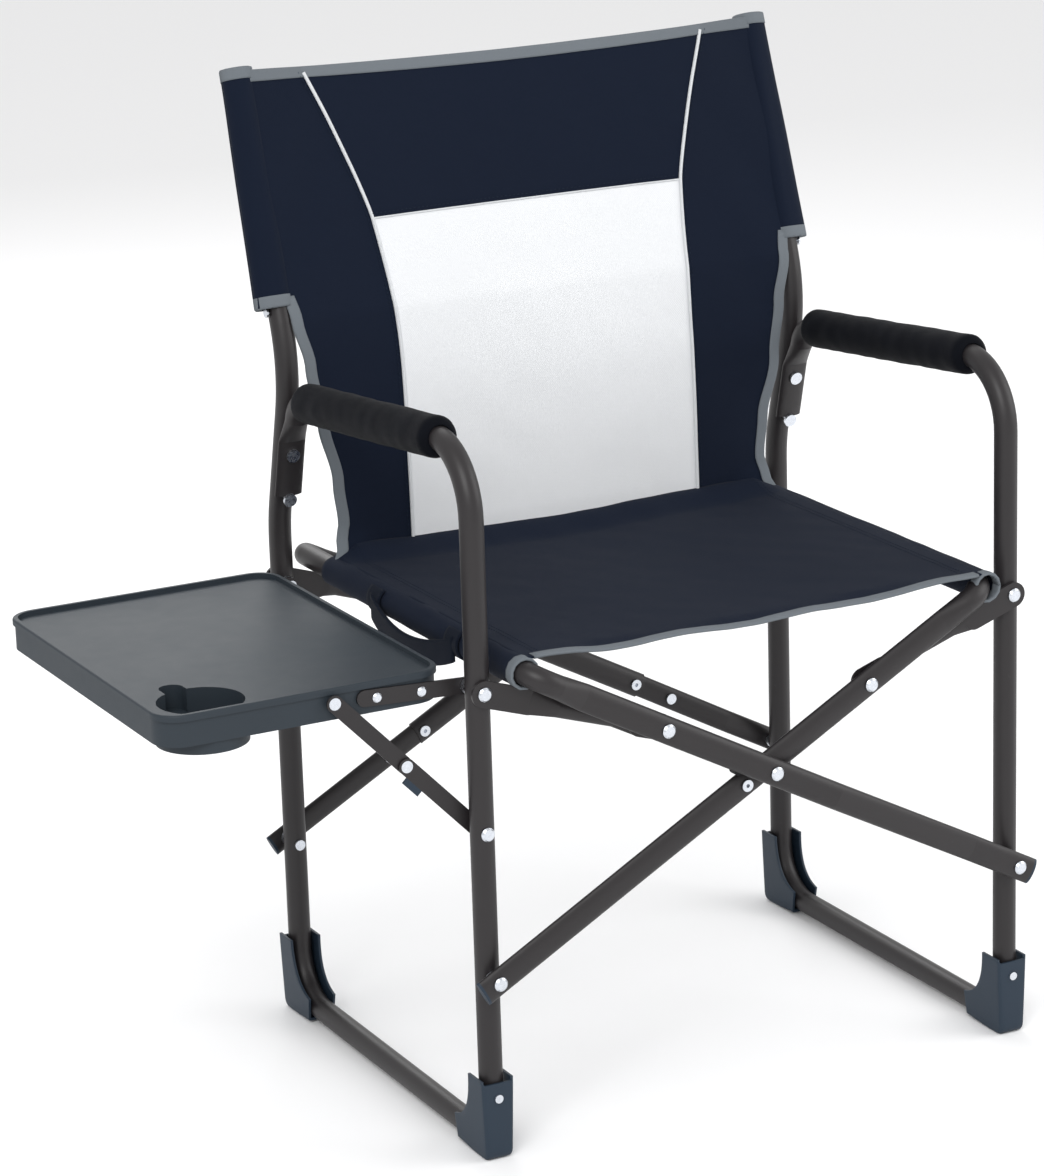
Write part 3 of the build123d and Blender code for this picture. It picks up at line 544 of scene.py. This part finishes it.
def binding(name: str, shape: Shape, edge: Edge, length: float, width: float,
            material: bpy.types.Material, span: tuple[float, float] = (0.0, 1.0),
            lift: float = 0.0013) -> bpy.types.Object:
    """Tape folded over a sheet's edge.

    Args:
        name: the piece's name.
        shape: the sheet.
        edge: which edge is bound.
        length: about how long it is, for the UV map.
        width: width of the tape on each face.
        material: the tape's material.
        span: part of the edge that is bound.
        lift: half thickness over the sheet.

    Returns:
        The tape.
    """
    def fold(u: float, v: float) -> Vector:
        """The tape's cross-section goes from one face over the edge to the other."""
        t = span[0] + (span[1] - span[0]) * v
        here, inward, normal = edge_frame(shape, edge, min(t, 0.995))
        side = 1.0 if u < 0.5 else -1.0
        reach = abs(u - 0.5) * 2
        turn = min(reach / 0.3, 1.0)
        into = -lift * math.cos(turn * math.pi / 2) + max(reach - 0.3, 0) / 0.7 * width
        out = side * lift * math.sin(turn * math.pi / 2) if reach > 0 else 0.0
        return here + inward * into + normal * out

    rows = max(12, int(length / 0.006))
    return cloth_grid(name, fold, (14, rows), (2 * width, length), [material], 0.0005)


def cord_mesh(name: str, points: Sequence[Vector], radius: float,
              material: bpy.types.Material) -> bpy.types.Object:
    """A round cord sewn along points, as a mesh.

    Args:
        name: the piece's name.
        points: the cord's route.
        radius: half its thickness.
        material: its material.

    Returns:
        The mesh object.
    """
    curve = bpy.data.curves.new(name, "CURVE")
    curve.dimensions = "3D"
    curve.bevel_depth = radius
    curve.bevel_resolution = 3
    curve.use_fill_caps = True
    spline = curve.splines.new("POLY")
    spline.points.add(len(points) - 1)
    for point, place in zip(spline.points, points):
        point.co = (*place, 1.0)
    helper = bpy.data.objects.new(name + "_route", curve)
    bpy.context.scene.collection.objects.link(helper)
    mesh = bpy.data.meshes.new_from_object(helper.evaluated_get(bpy.context.evaluated_depsgraph_get()))
    bpy.data.objects.remove(helper)
    mesh.name = name
    mesh.materials.clear()
    mesh.materials.append(material)
    for polygon in mesh.polygons:
        polygon.use_smooth = True
    obj = bpy.data.objects.new(name, mesh)
    bpy.context.scene.collection.objects.link(obj)
    return obj


def stitch_row(name: str, points: Sequence[Vector], pitch: float, radius: float,
               material: bpy.types.Material) -> bpy.types.Object:
    """A row of short thread stitches along points.

    Args:
        name: the piece's name.
        points: the seam, closely spaced.
        pitch: distance from stitch to stitch.
        radius: half the thread's thickness.
        material: the thread's material.

    Returns:
        One object that holds the whole row.
    """
    bm = bmesh.new()
    travelled = 0.0
    due = 0.0
    for a, b in zip(points, points[1:]):
        run = (b - a).length
        while due < travelled + run and run > 0:
            at = a.lerp(b, (due - travelled) / run)
            turn = (b - a).to_track_quat("Z", "Y").to_matrix().to_4x4()
            size = Matrix.Diagonal((radius, radius, pitch * 0.32, 1.0))
            place = Matrix.Translation(at) @ turn @ size
            bmesh.ops.create_icosphere(bm, subdivisions=1, radius=1.0, matrix=place)
            due += pitch
        travelled += run
    return new_object(name, bm, [material])


# --- sub-assemblies --------------------------------------------------------------------------


@dataclass
class SteelWork:
    """The CAD pieces whose shape is right: tubes, rivets, table, shoes."""

    finishes: Finishes
    frame: dict[str, Any]

    def dress(self) -> int:
        """Give every CAD node the material of its slot.

        Returns:
            How many nodes were dressed.
        """
        slots = {s["node"]: s["material_slot"] for s in self.frame["record"]["subparts"]}
        for name, obj in self.frame["nodes"].items():
            material = self.finishes.of_slot(slots[name])
            obj.data.materials.clear()
            obj.data.materials.append(material)
        return len(slots)


@dataclass
class ArmGrip:
    """A velour-covered foam grip on an arm."""

    side: str
    body: Body
    finishes: Finishes
    ring: int = 40
    rows: int = 96
    swell: float = 0.0006
    end_roll: float = 0.0055
    end_length: float = 0.008
    cover: float = 0.0018
    bore: float = 0.0112

    def build(self) -> bpy.types.Object:
        """Make the grip round the line of its CAD solid.

        Returns:
            The grip.
        """
        node = self.side + "_arm_pad"
        low, high = (Vector(c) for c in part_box(node))
        radius = (high.x - low.x) / 2
        x = (low.x + high.x) / 2
        slope = (high.z - low.z - 2 * radius) / (high.y - low.y)
        start = Vector((x, low.y, high.z - radius))
        end = Vector((x, high.y, low.z + radius))
        way = (end - start).normalized()
        up = Vector((0, -way.z, way.y))
        length = (end - start).length

        def skin(u: float, v: float) -> Vector:
            """A cylinder with rolled ends and shallow creases."""
            run = v * length
            end_gap = min(run, length - run)
            close = math.sqrt(max(0.0, 1 - (1 - min(end_gap / self.end_length, 1.0)) ** 2))
            angle = u * 2 * math.pi
            crease = noise.noise(Vector((math.cos(angle) * 1.2, math.sin(angle) * 1.2, run * 55)))
            r = (radius - self.end_roll) + self.end_roll * close + crease * self.swell * close
            out = Vector((math.cos(angle), 0, 0)) + up * math.sin(angle)
            return start + way * run + out * r

        bm = flat_grid((self.ring, self.rows))
        bend(bm, skin)
        bmesh.ops.remove_doubles(bm, verts=bm.verts, dist=1e-5)
        rims = [e for e in bm.edges if e.is_boundary]
        inner = bmesh.ops.extrude_edge_only(bm, edges=rims)["geom"]
        inside = min(self.bore, radius - self.end_roll - self.cover)
        for vert in (g for g in inner if isinstance(g, bmesh.types.BMVert)):
            along = (vert.co - start).dot(way)
            axis = start + way * along
            vert.co = axis + (vert.co - axis).normalized() * inside
        bmesh.ops.recalc_face_normals(bm, faces=bm.faces)
        obj = new_object(self.side + "_arm_grip", bm, [self.finishes.velour])
        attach(obj, self.body.value)
        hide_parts(node)
        return obj


@dataclass
class Shoe:
    """A moulded shoe: a channel that wraps a floor bend and is open on its inner side."""

    side: str
    place: str
    body: Body
    finishes: Finishes
    wall: float = 0.0024
    ear: float = 0.0035
    corner: float = 0.0032
    draft: float = 0.0025
    toe: float = 0.007
    toe_rise: float = 0.0026
    leg_reach: float = 0.0285
    knee: tuple[float, float] = (0.0305, 0.0330)
    runner_rim: float = 0.0265
    curl_share: float = 0.08
    wall_steps: int = 8
    curl_steps: int = 5
    stations: int = 44

    def __post_init__(self) -> None:
        """Read the shoe's box; lengths run from its outer face towards the runner."""
        low, high = (Vector(c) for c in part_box(f"{self.side}_{self.place}_foot"))
        self.x = (low.x + high.x) / 2
        self.half_top = (high.x - low.x) / 2
        self.half_low = self.half_top - self.draft
        self.height = high.z
        self.length = high.y - low.y
        self.face = low.y if self.place == "front" else high.y
        self.sign = 1.0 if self.place == "front" else -1.0

    def spine(self, t: float) -> tuple[float, float]:
        """The outer line: down the face, round the toe and along the floor."""
        r = self.toe
        down, turn, along = self.height - r, r * math.pi / 2, self.length - r - 0.004
        run = t * (down + turn + along)
        if run < down:
            return 0.0, self.height - run
        if run < down + turn:
            angle = (run - down) / r
            return r - r * math.cos(angle), r - r * math.sin(angle)
        out = run - down - turn
        return r + out, self.toe_rise * smooth_step(out / along) ** 2

    def rim(self, t: float) -> tuple[float, float]:
        """The inner line of the side walls: down the leg and out along the runner."""
        start, end = Vector((self.leg_reach, self.height)), Vector((self.length, self.runner_rim))
        knee = Vector(self.knee)
        point = start * (1 - t) ** 2 + knee * (2 * t * (1 - t)) + end * t ** 2
        return point.x, point.y

    def half(self, z: float) -> float:
        """Half the outer width at a height."""
        return self.half_low + (self.half_top - self.half_low) * z / self.height

    def section(self, t: float) -> list[Vector]:
        """The outer U at a station.

        Args:
            t: the station, from the leg at 0 to the runner at 1.

        Returns:
            Its points, from one rim over the spine to the other.
        """
        out0, z0 = self.spine(t)
        out1, z1 = self.rim(t)
        lift = self.ear * (1 - smooth_step(t / 0.06))
        points = []
        for sign in (-1, 1):
            wall = []
            for k in range(self.wall_steps + 1):
                share = 1 - k / self.wall_steps
                reach = self.curl_share + (1 - self.curl_share) * share
                out, z = out0 + (out1 - out0) * reach, z0 + (z1 - z0) * reach
                wall.append(Vector((sign * self.half(z), out, z + lift)))
            curl = []
            for k in range(1, self.curl_steps):
                angle = k / self.curl_steps * math.pi / 2
                reach = self.curl_share * (1 - math.sin(angle))
                out, z = out0 + (out1 - out0) * reach, z0 + (z1 - z0) * reach
                x = self.half(z) - self.corner * (1 - math.cos(angle))
                curl.append(Vector((sign * x, out, z + lift * (1 - k / self.curl_steps))))
            points.append(wall + curl)
        level = self.half(z0) - self.corner
        flat = [Vector((level * f, out0, z0)) for f in (-1, -0.5, 0, 0.5, 1)]
        return points[0] + flat + points[1][::-1]

    def build(self) -> bpy.types.Object:
        """Make the shoe as a thin-walled shell.

        Returns:
            The shoe.
        """
        sections = [self.section(i / self.stations) for i in range(self.stations + 1)]
        across = len(sections[0]) - 1

        def channel(u: float, v: float) -> Vector:
            """A point of the outer U at its station."""
            point = sections[round(v * self.stations)][round(u * across)]
            return Vector((self.x + point.x, self.face + self.sign * point.y, max(point.z, 0.0)))

        bm = flat_grid((across, self.stations))
        bend(bm, channel)
        bmesh.ops.recalc_face_normals(bm, faces=bm.faces)
        inside = Vector((self.x, self.face + self.sign * self.leg_reach / 2, self.height * 0.6))
        front = min(bm.faces, key=lambda f: abs(f.calc_center_median().y - self.face))
        if front.normal.dot(inside - front.calc_center_median()) > 0:
            bmesh.ops.reverse_faces(bm, faces=bm.faces)
        obj = new_object(f"{self.side}_{self.place}_shoe", bm, [self.finishes.shoe])
        solid = obj.modifiers.new("wall", "SOLIDIFY")
        solid.thickness = self.wall
        solid.offset = -1.0
        solid.use_even_offset = True
        edge = obj.modifiers.new("rim", "BEVEL")
        edge.width = 0.0006
        edge.segments = 2
        edge.limit_method = "ANGLE"
        edge.angle_limit = math.radians(50)
        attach(obj, self.body.value)
        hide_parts(f"{self.side}_{self.place}_foot")
        return obj


@dataclass
class Seat:
    """The seat cloth, its hems on the rails, its bindings and its carry handle."""

    finishes: Finishes
    hem_radius: float = 0.0128
    cloth: float = 0.0013
    sag: float = 0.007
    rear_rise: float = 0.012
    strap_width: float = 0.024
    tab_size: tuple[float, float] = (0.026, 0.028)
    tab_arc: float = 1.9
    tab_lift: float = 0.0026
    tape: float = 0.009
    columns: int = 110
    rows: int = 96

    def __post_init__(self) -> None:
        """Read the rails and the sling from the frame."""
        self.left = centre("left_seat_sleeve")
        self.right = centre("right_seat_sleeve")
        low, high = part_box("seat_sling")
        self.near = low[1] - 0.008
        self.far = high[1] + 0.006
        self.top = self.left.z + self.hem_radius

    def sheet(self, u: float, v: float) -> Vector:
        """The seat's surface.

        Args:
            u: from the left hem to the right one, 0 to 1.
            v: from the front to the back, 0 to 1.

        Returns:
            The place of that point of the cloth.
        """
        x = self.left.x + (self.right.x - self.left.x) * u
        across = 1 - (2 * u - 1) ** 2
        near_edge = self.near + 0.007 * across * (1 - smooth_step(v / 0.12))
        y = near_edge + (self.far - near_edge) * v
        front = 1 - smooth_step(v / 0.07)
        ripple = math.sin(u * 2 * math.pi * 3.5 + 0.6) * 0.0016 * front * min(1.0, across * 3)
        pull = noise.noise(Vector((x * 9, y * 5, 0.3))) * 0.0022 * across
        fine = noise.noise(Vector((x * 34 + y * 12, y * 22, 2.1))) * 0.0006 * min(1.0, across * 4)
        rise = self.rear_rise * smooth_step((v - 0.9) / 0.1) * min(1.0, across * 6)
        dip = self.sag * across * (0.65 + 0.35 * v) + 0.003 * front * across
        return Vector((x, y, self.top - dip + rise + ripple + pull + fine))

    def hem(self, side: int) -> Shape:
        """The hem round one rail; it closes on itself.

        Args:
            side: -1 for the left rail, 1 for the right one.

        Returns:
            The hem's surface.
        """
        rail = self.left if side < 0 else self.right

        def shape(u: float, v: float) -> Vector:
            """A slightly crumpled sleeve."""
            angle = u * 2 * math.pi
            y = self.near + (self.far - self.near) * v
            wave = noise.noise(Vector((math.cos(angle), math.sin(angle), y * 30 + side))) * 0.0005
            loose = 0.0012 * max(0.0, -math.sin(angle))
            r = self.hem_radius + wave + loose
            return Vector((rail.x + math.cos(angle) * r, y, rail.z + math.sin(angle) * r))

        return shape

    def make_sheet(self) -> bpy.types.Object:
        """The seat cloth between the hems."""
        width = self.right.x - self.left.x
        depth = self.far - self.near
        obj = cloth_grid("seat_cloth", self.sheet, (self.columns, self.rows), (width, depth),
                         [self.finishes.navy], self.cloth)
        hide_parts("seat_sling")
        tape = binding("seat_front_binding", self.sheet, Edge.NEAR, width, self.tape, self.finishes.grey,
                       (0.02, 0.98))
        seams = []
        for u in (0.035, 0.045, 0.955, 0.965):
            points = [self.sheet(u, i / 90) + Vector((0, 0, self.cloth / 2 + 0.0002)) for i in range(4, 90)]
            name = f"seat_seam_{round(u * 1000)}"
            seams.append(stitch_row(name, points, 0.0045, 0.0004, self.finishes.thread))
        for piece in (obj, tape, *seams):
            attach(piece, Body.SEAT.value)
            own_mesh(piece)
        return obj

    def make_hems(self) -> None:
        """The two sleeves with the tape at their mouths."""
        for side, name, body in ((-1, "left", Body.CROSS_A), (1, "right", Body.CROSS_B)):
            shape = self.hem(side)
            depth = self.far - self.near
            girth = 2 * math.pi * self.hem_radius
            sleeve = cloth_grid(name + "_seat_hem", shape, (36, 90), (girth, depth), [self.finishes.navy],
                                self.cloth)
            mouth = binding(name + "_seat_hem_binding", shape, Edge.NEAR, girth, self.tape,
                            self.finishes.grey)
            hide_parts(name + "_seat_sleeve")
            for piece in (sleeve, mouth):
                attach(piece, body.value)

    def tab(self, y: float) -> Shape:
        """A sewn tab that follows the left hem's side at a depth."""
        def shape(u: float, v: float) -> Vector:
            """A short arc round the hem."""
            angle = math.pi + (v - 0.5) * self.tab_arc
            r = self.hem_radius + self.tab_lift
            return Vector((self.left.x + math.cos(angle) * r, y + (u - 0.5) * self.tab_size[0],
                           self.left.z + math.sin(angle) * r))

        return shape

    def make_handle(self) -> None:
        """The webbing loop on the left hem, with its two sewn tabs."""
        low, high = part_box("carry_handle")
        y0, y1 = low[1], high[1]
        x = self.left.x - self.hem_radius
        width = self.strap_width

        def strap(u: float, v: float) -> Vector:
            """A strap that hangs in a shallow loop."""
            y = y0 - 0.004 + (y1 - y0 + 0.008) * v
            hang = math.sin(math.pi * v) ** 0.8
            drop = (u - 0.5) * width
            out = 0.0018 + 0.007 * hang
            twist = 0.003 * math.sin(math.pi * v) * (u - 0.5)
            return Vector((x - out + twist, y, self.left.z - 0.004 - 0.017 * hang - drop))

        handle = cloth_grid("carry_strap", strap, (10, 60), (width, (y1 - y0) * 1.08),
                            [self.finishes.webbing], 0.0032)
        pieces = [handle]
        for name, y in (("front", y0), ("rear", y1)):
            pieces.append(cloth_grid(f"carry_strap_{name}_tab", self.tab(y), (8, 16), self.tab_size,
                                     [self.finishes.webbing], 0.002))
        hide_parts("carry_handle")
        for piece in pieces:
            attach(piece, Body.CROSS_A.value)

    def build(self) -> None:
        """Make every piece of the seat."""
        self.make_sheet()
        self.make_hems()
        self.make_handle()


@dataclass
class Back:
    """The back cloth with its pale panel, piping, bindings and the hems on the posts."""

    finishes: Finishes
    cloth: float = 0.0013
    bulge: float = 0.012
    tape: float = 0.010
    seam_half: tuple[float, float, float] = (0.217, 0.168, 0.158)
    panel_top: float = 0.781
    tuck: float = 0.010
    columns: int = 120
    rows: int = 120
    wing_share: float = 0.25
    band_share: float = 0.35
    cut_start: float = 0.47
    corner_drop: float = 0.012

    def __post_init__(self) -> None:
        """Read the posts and the panel from the frame."""
        self.left_top = centre("left_post_plug")
        self.right_top = centre("right_post_plug")
        self.screw = centre("left_fabric_screw")
        low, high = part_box("back_panel")
        self.bottom = low[2]
        self.top = high[2]
        self.middle = (self.left_top.x + self.right_top.x) / 2
        self.half = (self.right_top.x - self.left_top.x) / 2
        self.slope = (self.left_top.y - self.screw.y) / (self.left_top.z - self.screw.z)
        self.hem_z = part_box("left_back_sleeve")[0][2]
        self.bottom -= self.tuck
        self.foot_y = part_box("seat_sling")[1][1] + 0.005

    def post_y(self, z: float) -> float:
        """The post's middle line at a height."""
        return self.screw.y + self.slope * (z - self.screw.z)

    def line_y(self, z: float) -> float:
        """The cloth's middle line: beside the posts above, and in to the seat below."""
        if z >= self.hem_z:
            return self.post_y(z) - 0.011
        t = (self.hem_z - z) / (self.hem_z - self.bottom)
        start = self.post_y(self.hem_z) - 0.011
        out = self.slope * (self.hem_z - self.bottom)
        a = 2 * t ** 3 - 3 * t ** 2 + 1
        b = t ** 3 - 2 * t ** 2 + t
        c = -2 * t ** 3 + 3 * t ** 2
        return a * start - b * out * 0.55 + c * self.foot_y

    def half_width(self, z: float) -> float:
        """Half the cloth's width at a height."""
        marks = [(self.top + 0.01, 0.276), (0.735, 0.276), (0.700, 0.270), (0.655, 0.2605), (0.600, 0.252),
                 (0.540, 0.2385), (0.500, 0.2345), (0.482, 0.239), (self.bottom, 0.254)]
        for (z0, w0), (z1, w1) in zip(marks, marks[1:]):
            if z >= z1:
                return w1 + (w0 - w1) * smooth_step((z - z1) / (z0 - z1))
        return marks[-1][1]

    def seam(self, z: float) -> float:
        """Half the distance between the two piped seams at a height."""
        top, middle, low = self.seam_half
        if z > self.panel_top:
            t = (z - self.panel_top) / (self.top - self.panel_top)
            return middle + (top - middle) * t ** 1.15
        t = (self.panel_top - z) / (self.panel_top - self.bottom)
        return middle + (low - middle) * (1 - (1 - min(t * 2.2, 1.0)) ** 2)

    def sheet(self, u: float, v: float) -> Vector:
        """The back's surface; its seams lie on grid lines.

        Args:
            u: from the left edge to the right, 0 to 1.
            v: from the top to the bottom, 0 to 1.

        Returns:
            The place of that point of the cloth.
        """
        if v < self.band_share:
            z = self.top + (self.panel_top - self.top) * v / self.band_share
        else:
            share = (v - self.band_share) / (1 - self.band_share)
            z = self.panel_top + (self.bottom - self.panel_top) * share
        half, seam = self.half_width(z), self.seam(z)
        w = self.wing_share
        if u < w:
            x = -half + (half - seam) * u / w
        elif u > 1 - w:
            x = seam + (half - seam) * (u - 1 + w) / w
        else:
            x = -seam + 2 * seam * (u - w) / (1 - 2 * w)
        across = 1 - (x / half) ** 2
        drop = (self.top - z) / (self.top - self.bottom)
        back = self.bulge * across * math.sin(math.pi * min(drop * 1.05, 1.0))
        folds = noise.noise(Vector((x * 7, z * 3.4, 4.2))) * 0.0032 * across
        corner = math.sin((abs(x) * 1.4 + z) * 46) * 0.0009 * math.exp(-((abs(x) - 0.25) / 0.05) ** 2)
        fine = noise.noise(Vector((x * 30 + z * 9, z * 20, 7.7))) * 0.0006 * across
        sag = -0.006 * across * (1 - smooth_step(drop / 0.12))
        flare = smooth_step((abs(x) / half - 0.78) / 0.22) * smooth_step((drop - 0.93) / 0.07)
        y = self.line_y(z) + back + folds + corner + fine - self.corner_drop * flare
        return Vector((self.middle + x, y, z + sag - self.corner_drop * flare))

    def hem(self, side: int) -> Shape:
        """The sleeve round one post, loose on its outer side towards the bottom.

        Args:
            side: -1 for the left post, 1 for the right one.

        Returns:
            The sleeve's surface.
        """
        top = self.left_top if side < 0 else self.right_top
        way = Vector((0, self.slope, 1)).normalized()
        out_y = Vector((0, way.z, -way.y))

        def shape(u: float, v: float) -> Vector:
            """A tube that is pulled out to a soft edge on the outside."""
            angle = u * 2 * math.pi
            low_z = self.hem_z + 0.014
            z = self.top + (low_z - self.top) * v
            axis = Vector((top.x, self.post_y(z), z))
            outside = max(0.0, math.cos(angle)) ** 3
            loose = 0.004 + 0.0065 * v
            wave = noise.noise(Vector((math.cos(angle), math.sin(angle), z * 14 + side))) * 0.0008
            r = 0.0128 + loose * outside + wave
            return axis + Vector((side * math.cos(angle) * r, 0, 0)) + out_y * math.sin(angle) * r

        return shape

    def chooser(self, u: float, v: float) -> int:
        """Slot 1 is the pale panel."""
        return 1 if self.wing_share < u < 1 - self.wing_share and v > self.band_share else 0

    def build(self) -> None:
        """Make every piece of the back."""
        navy, white, grey = self.finishes.navy, self.finishes.white, self.finishes.grey
        width, height = 2 * self.half, (self.top - self.bottom) * 1.04
        cloth = cloth_grid("back_cloth", self.sheet, (self.columns, self.rows), (width, height),
                           [navy, white], self.cloth, self.chooser)
        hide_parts("back_panel")
        trims = [binding("back_top_binding", self.sheet, Edge.NEAR, width, self.tape, grey, (0.0, 1.0))]
        for name, edge in (("left", Edge.LEFT), ("right", Edge.RIGHT)):
            trims.append(binding(f"back_{name}_binding", self.sheet, edge, height * 0.55, self.tape, grey,
                                 (self.cut_start, 1.0)))
        lift = Vector((0, -0.0012, 0))
        for name, u in (("left", self.wing_share), ("right", 1 - self.wing_share)):
            points = [self.sheet(u, i / 100) + lift for i in range(1, 101)]
            trims.append(cord_mesh(f"back_{name}_piping", points, 0.0017, self.finishes.piping))
            seam = [p + Vector((-0.005 if u < 0.5 else 0.005, -0.0002, 0)) for p in points]
            trims.append(stitch_row(f"back_{name}_piping_seam", seam, 0.0045, 0.0004, self.finishes.thread))
        span = range(int(self.wing_share * 100), 101 - int(self.wing_share * 100))
        across = [self.sheet(i / 100, self.band_share) + lift for i in span]
        trims.append(cord_mesh("back_panel_seam", across, 0.0009, self.finishes.piping))
        top_row = [p + Vector((0, 0, 0.0045)) for p in across]
        trims.append(stitch_row("back_panel_seam_stitches", top_row, 0.0045, 0.0004, self.finishes.thread))
        for piece in (cloth, *trims):
            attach(piece, Body.LEFT_SIDE.value)
            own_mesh(piece)
        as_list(trims[:3])
        for side, name, body in ((-1, "left", Body.LEFT_SIDE), (1, "right", Body.RIGHT_SIDE)):
            shape = self.hem(side)
            long = (self.top - self.hem_z) * 1.05
            girth = 0.092
            sleeve = cloth_grid(f"{name}_back_hem", shape, (44, 70), (girth, long), [navy], self.cloth)
            low = binding(f"{name}_back_hem_binding", shape, Edge.FAR, girth, self.tape, grey)
            cap = binding(f"{name}_back_hem_top", shape, Edge.NEAR, girth, self.tape, grey)
            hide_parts(f"{name}_back_sleeve")
            for piece in (sleeve, low, cap):
                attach(piece, body.value)


@dataclass
class Studio:
    """Floor, lights and camera."""

    target: tuple[float, float, float] = (0.03407, -0.0106, 0.46268)
    azimuth: float = math.radians(-27.5306)
    elevation: float = math.radians(16.1227)
    roll: float = math.radians(-1.7126)
    distance: float = 3.72225
    lens: float = 137.54
    shift: tuple[float, float] = (-0.02494, -0.00747)

    def floor(self) -> None:
        """A wide pale floor."""
        bm = bmesh.new()
        bmesh.ops.create_grid(bm, x_segments=1, y_segments=1, size=30)
        obj = new_object("floor", bm, [Ground().build()])

    def light(self, name: str, place: Sequence[float], size: float, power: float) -> None:
        """A large soft lamp aimed at the chair."""
        lamp = bpy.data.lights.new(name, "AREA")
        lamp.shape = "SQUARE"
        lamp.size = size
        lamp.energy = power
        obj = bpy.data.objects.new(name, lamp)
        bpy.context.scene.collection.objects.link(obj)
        way = Vector(self.target) - Vector(place)
        obj.matrix_world = Matrix.Translation(place) @ way.to_track_quat("-Z", "Y").to_matrix().to_4x4()

    def world(self) -> None:
        """Even white surroundings."""
        scene = bpy.context.scene
        scene.world = bpy.data.worlds.new("studio")
        scene.world.use_nodes = True
        sky = scene.world.node_tree.nodes["Background"]
        sky.inputs["Color"].default_value = (1.0, 1.0, 1.0, 1.0)
        sky.inputs["Strength"].default_value = 0.85
        scene.view_settings.view_transform = "Standard"

    def camera(self) -> None:
        """The view from the front, over the table side."""
        e, a = self.elevation, self.azimuth
        away = Vector((math.sin(a) * math.cos(e), -math.cos(a) * math.cos(e), math.sin(e)))
        level = Vector((math.cos(a), math.sin(a), 0))
        up = away.cross(level).normalized()
        right = level * math.cos(self.roll) + up * math.sin(self.roll)
        top = up * math.cos(self.roll) - level * math.sin(self.roll)
        place = Vector(self.target) + away * self.distance
        data = bpy.data.cameras.new("camera")
        data.sensor_fit = "HORIZONTAL"
        data.sensor_width = 36.0
        data.lens = self.lens
        data.shift_x, data.shift_y = self.shift
        data.clip_end = 100
        obj = bpy.data.objects.new("camera", data)
        bpy.context.scene.collection.objects.link(obj)
        turn = Matrix((right, top, away)).transposed().to_4x4()
        obj.matrix_world = Matrix.Translation(place) @ turn
        bpy.context.scene.camera = obj

    def build(self) -> None:
        """Set up the studio."""
        self.floor()
        self.world()
        self.light("key_light", (-2.2, -2.6, 3.2), 2.2, 90)
        self.light("fill_light", (3.0, -1.6, 2.0), 2.5, 45)
        self.light("back_light", (0.6, 3.0, 2.6), 2.0, 40)
        self.camera()


def main() -> None:
    """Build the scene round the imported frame."""
    logging.basicConfig(level=logging.INFO)
    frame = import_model()
    Studio().build()
    finishes = Finishes()
    LOG.info("dressed %d nodes", SteelWork(finishes, frame).dress())
    for side, body in (("left", Body.LEFT_SIDE), ("right", Body.RIGHT_SIDE)):
        LOG.info("made %s", ArmGrip(side, body, finishes).build().name)
        for place in ("front", "rear"):
            Shoe(side, place, body, finishes).build()
    Seat(finishes).build()
    Back(finishes).build()
    bpy.context.view_layer.update()


if __name__ == "__main__":
    main()
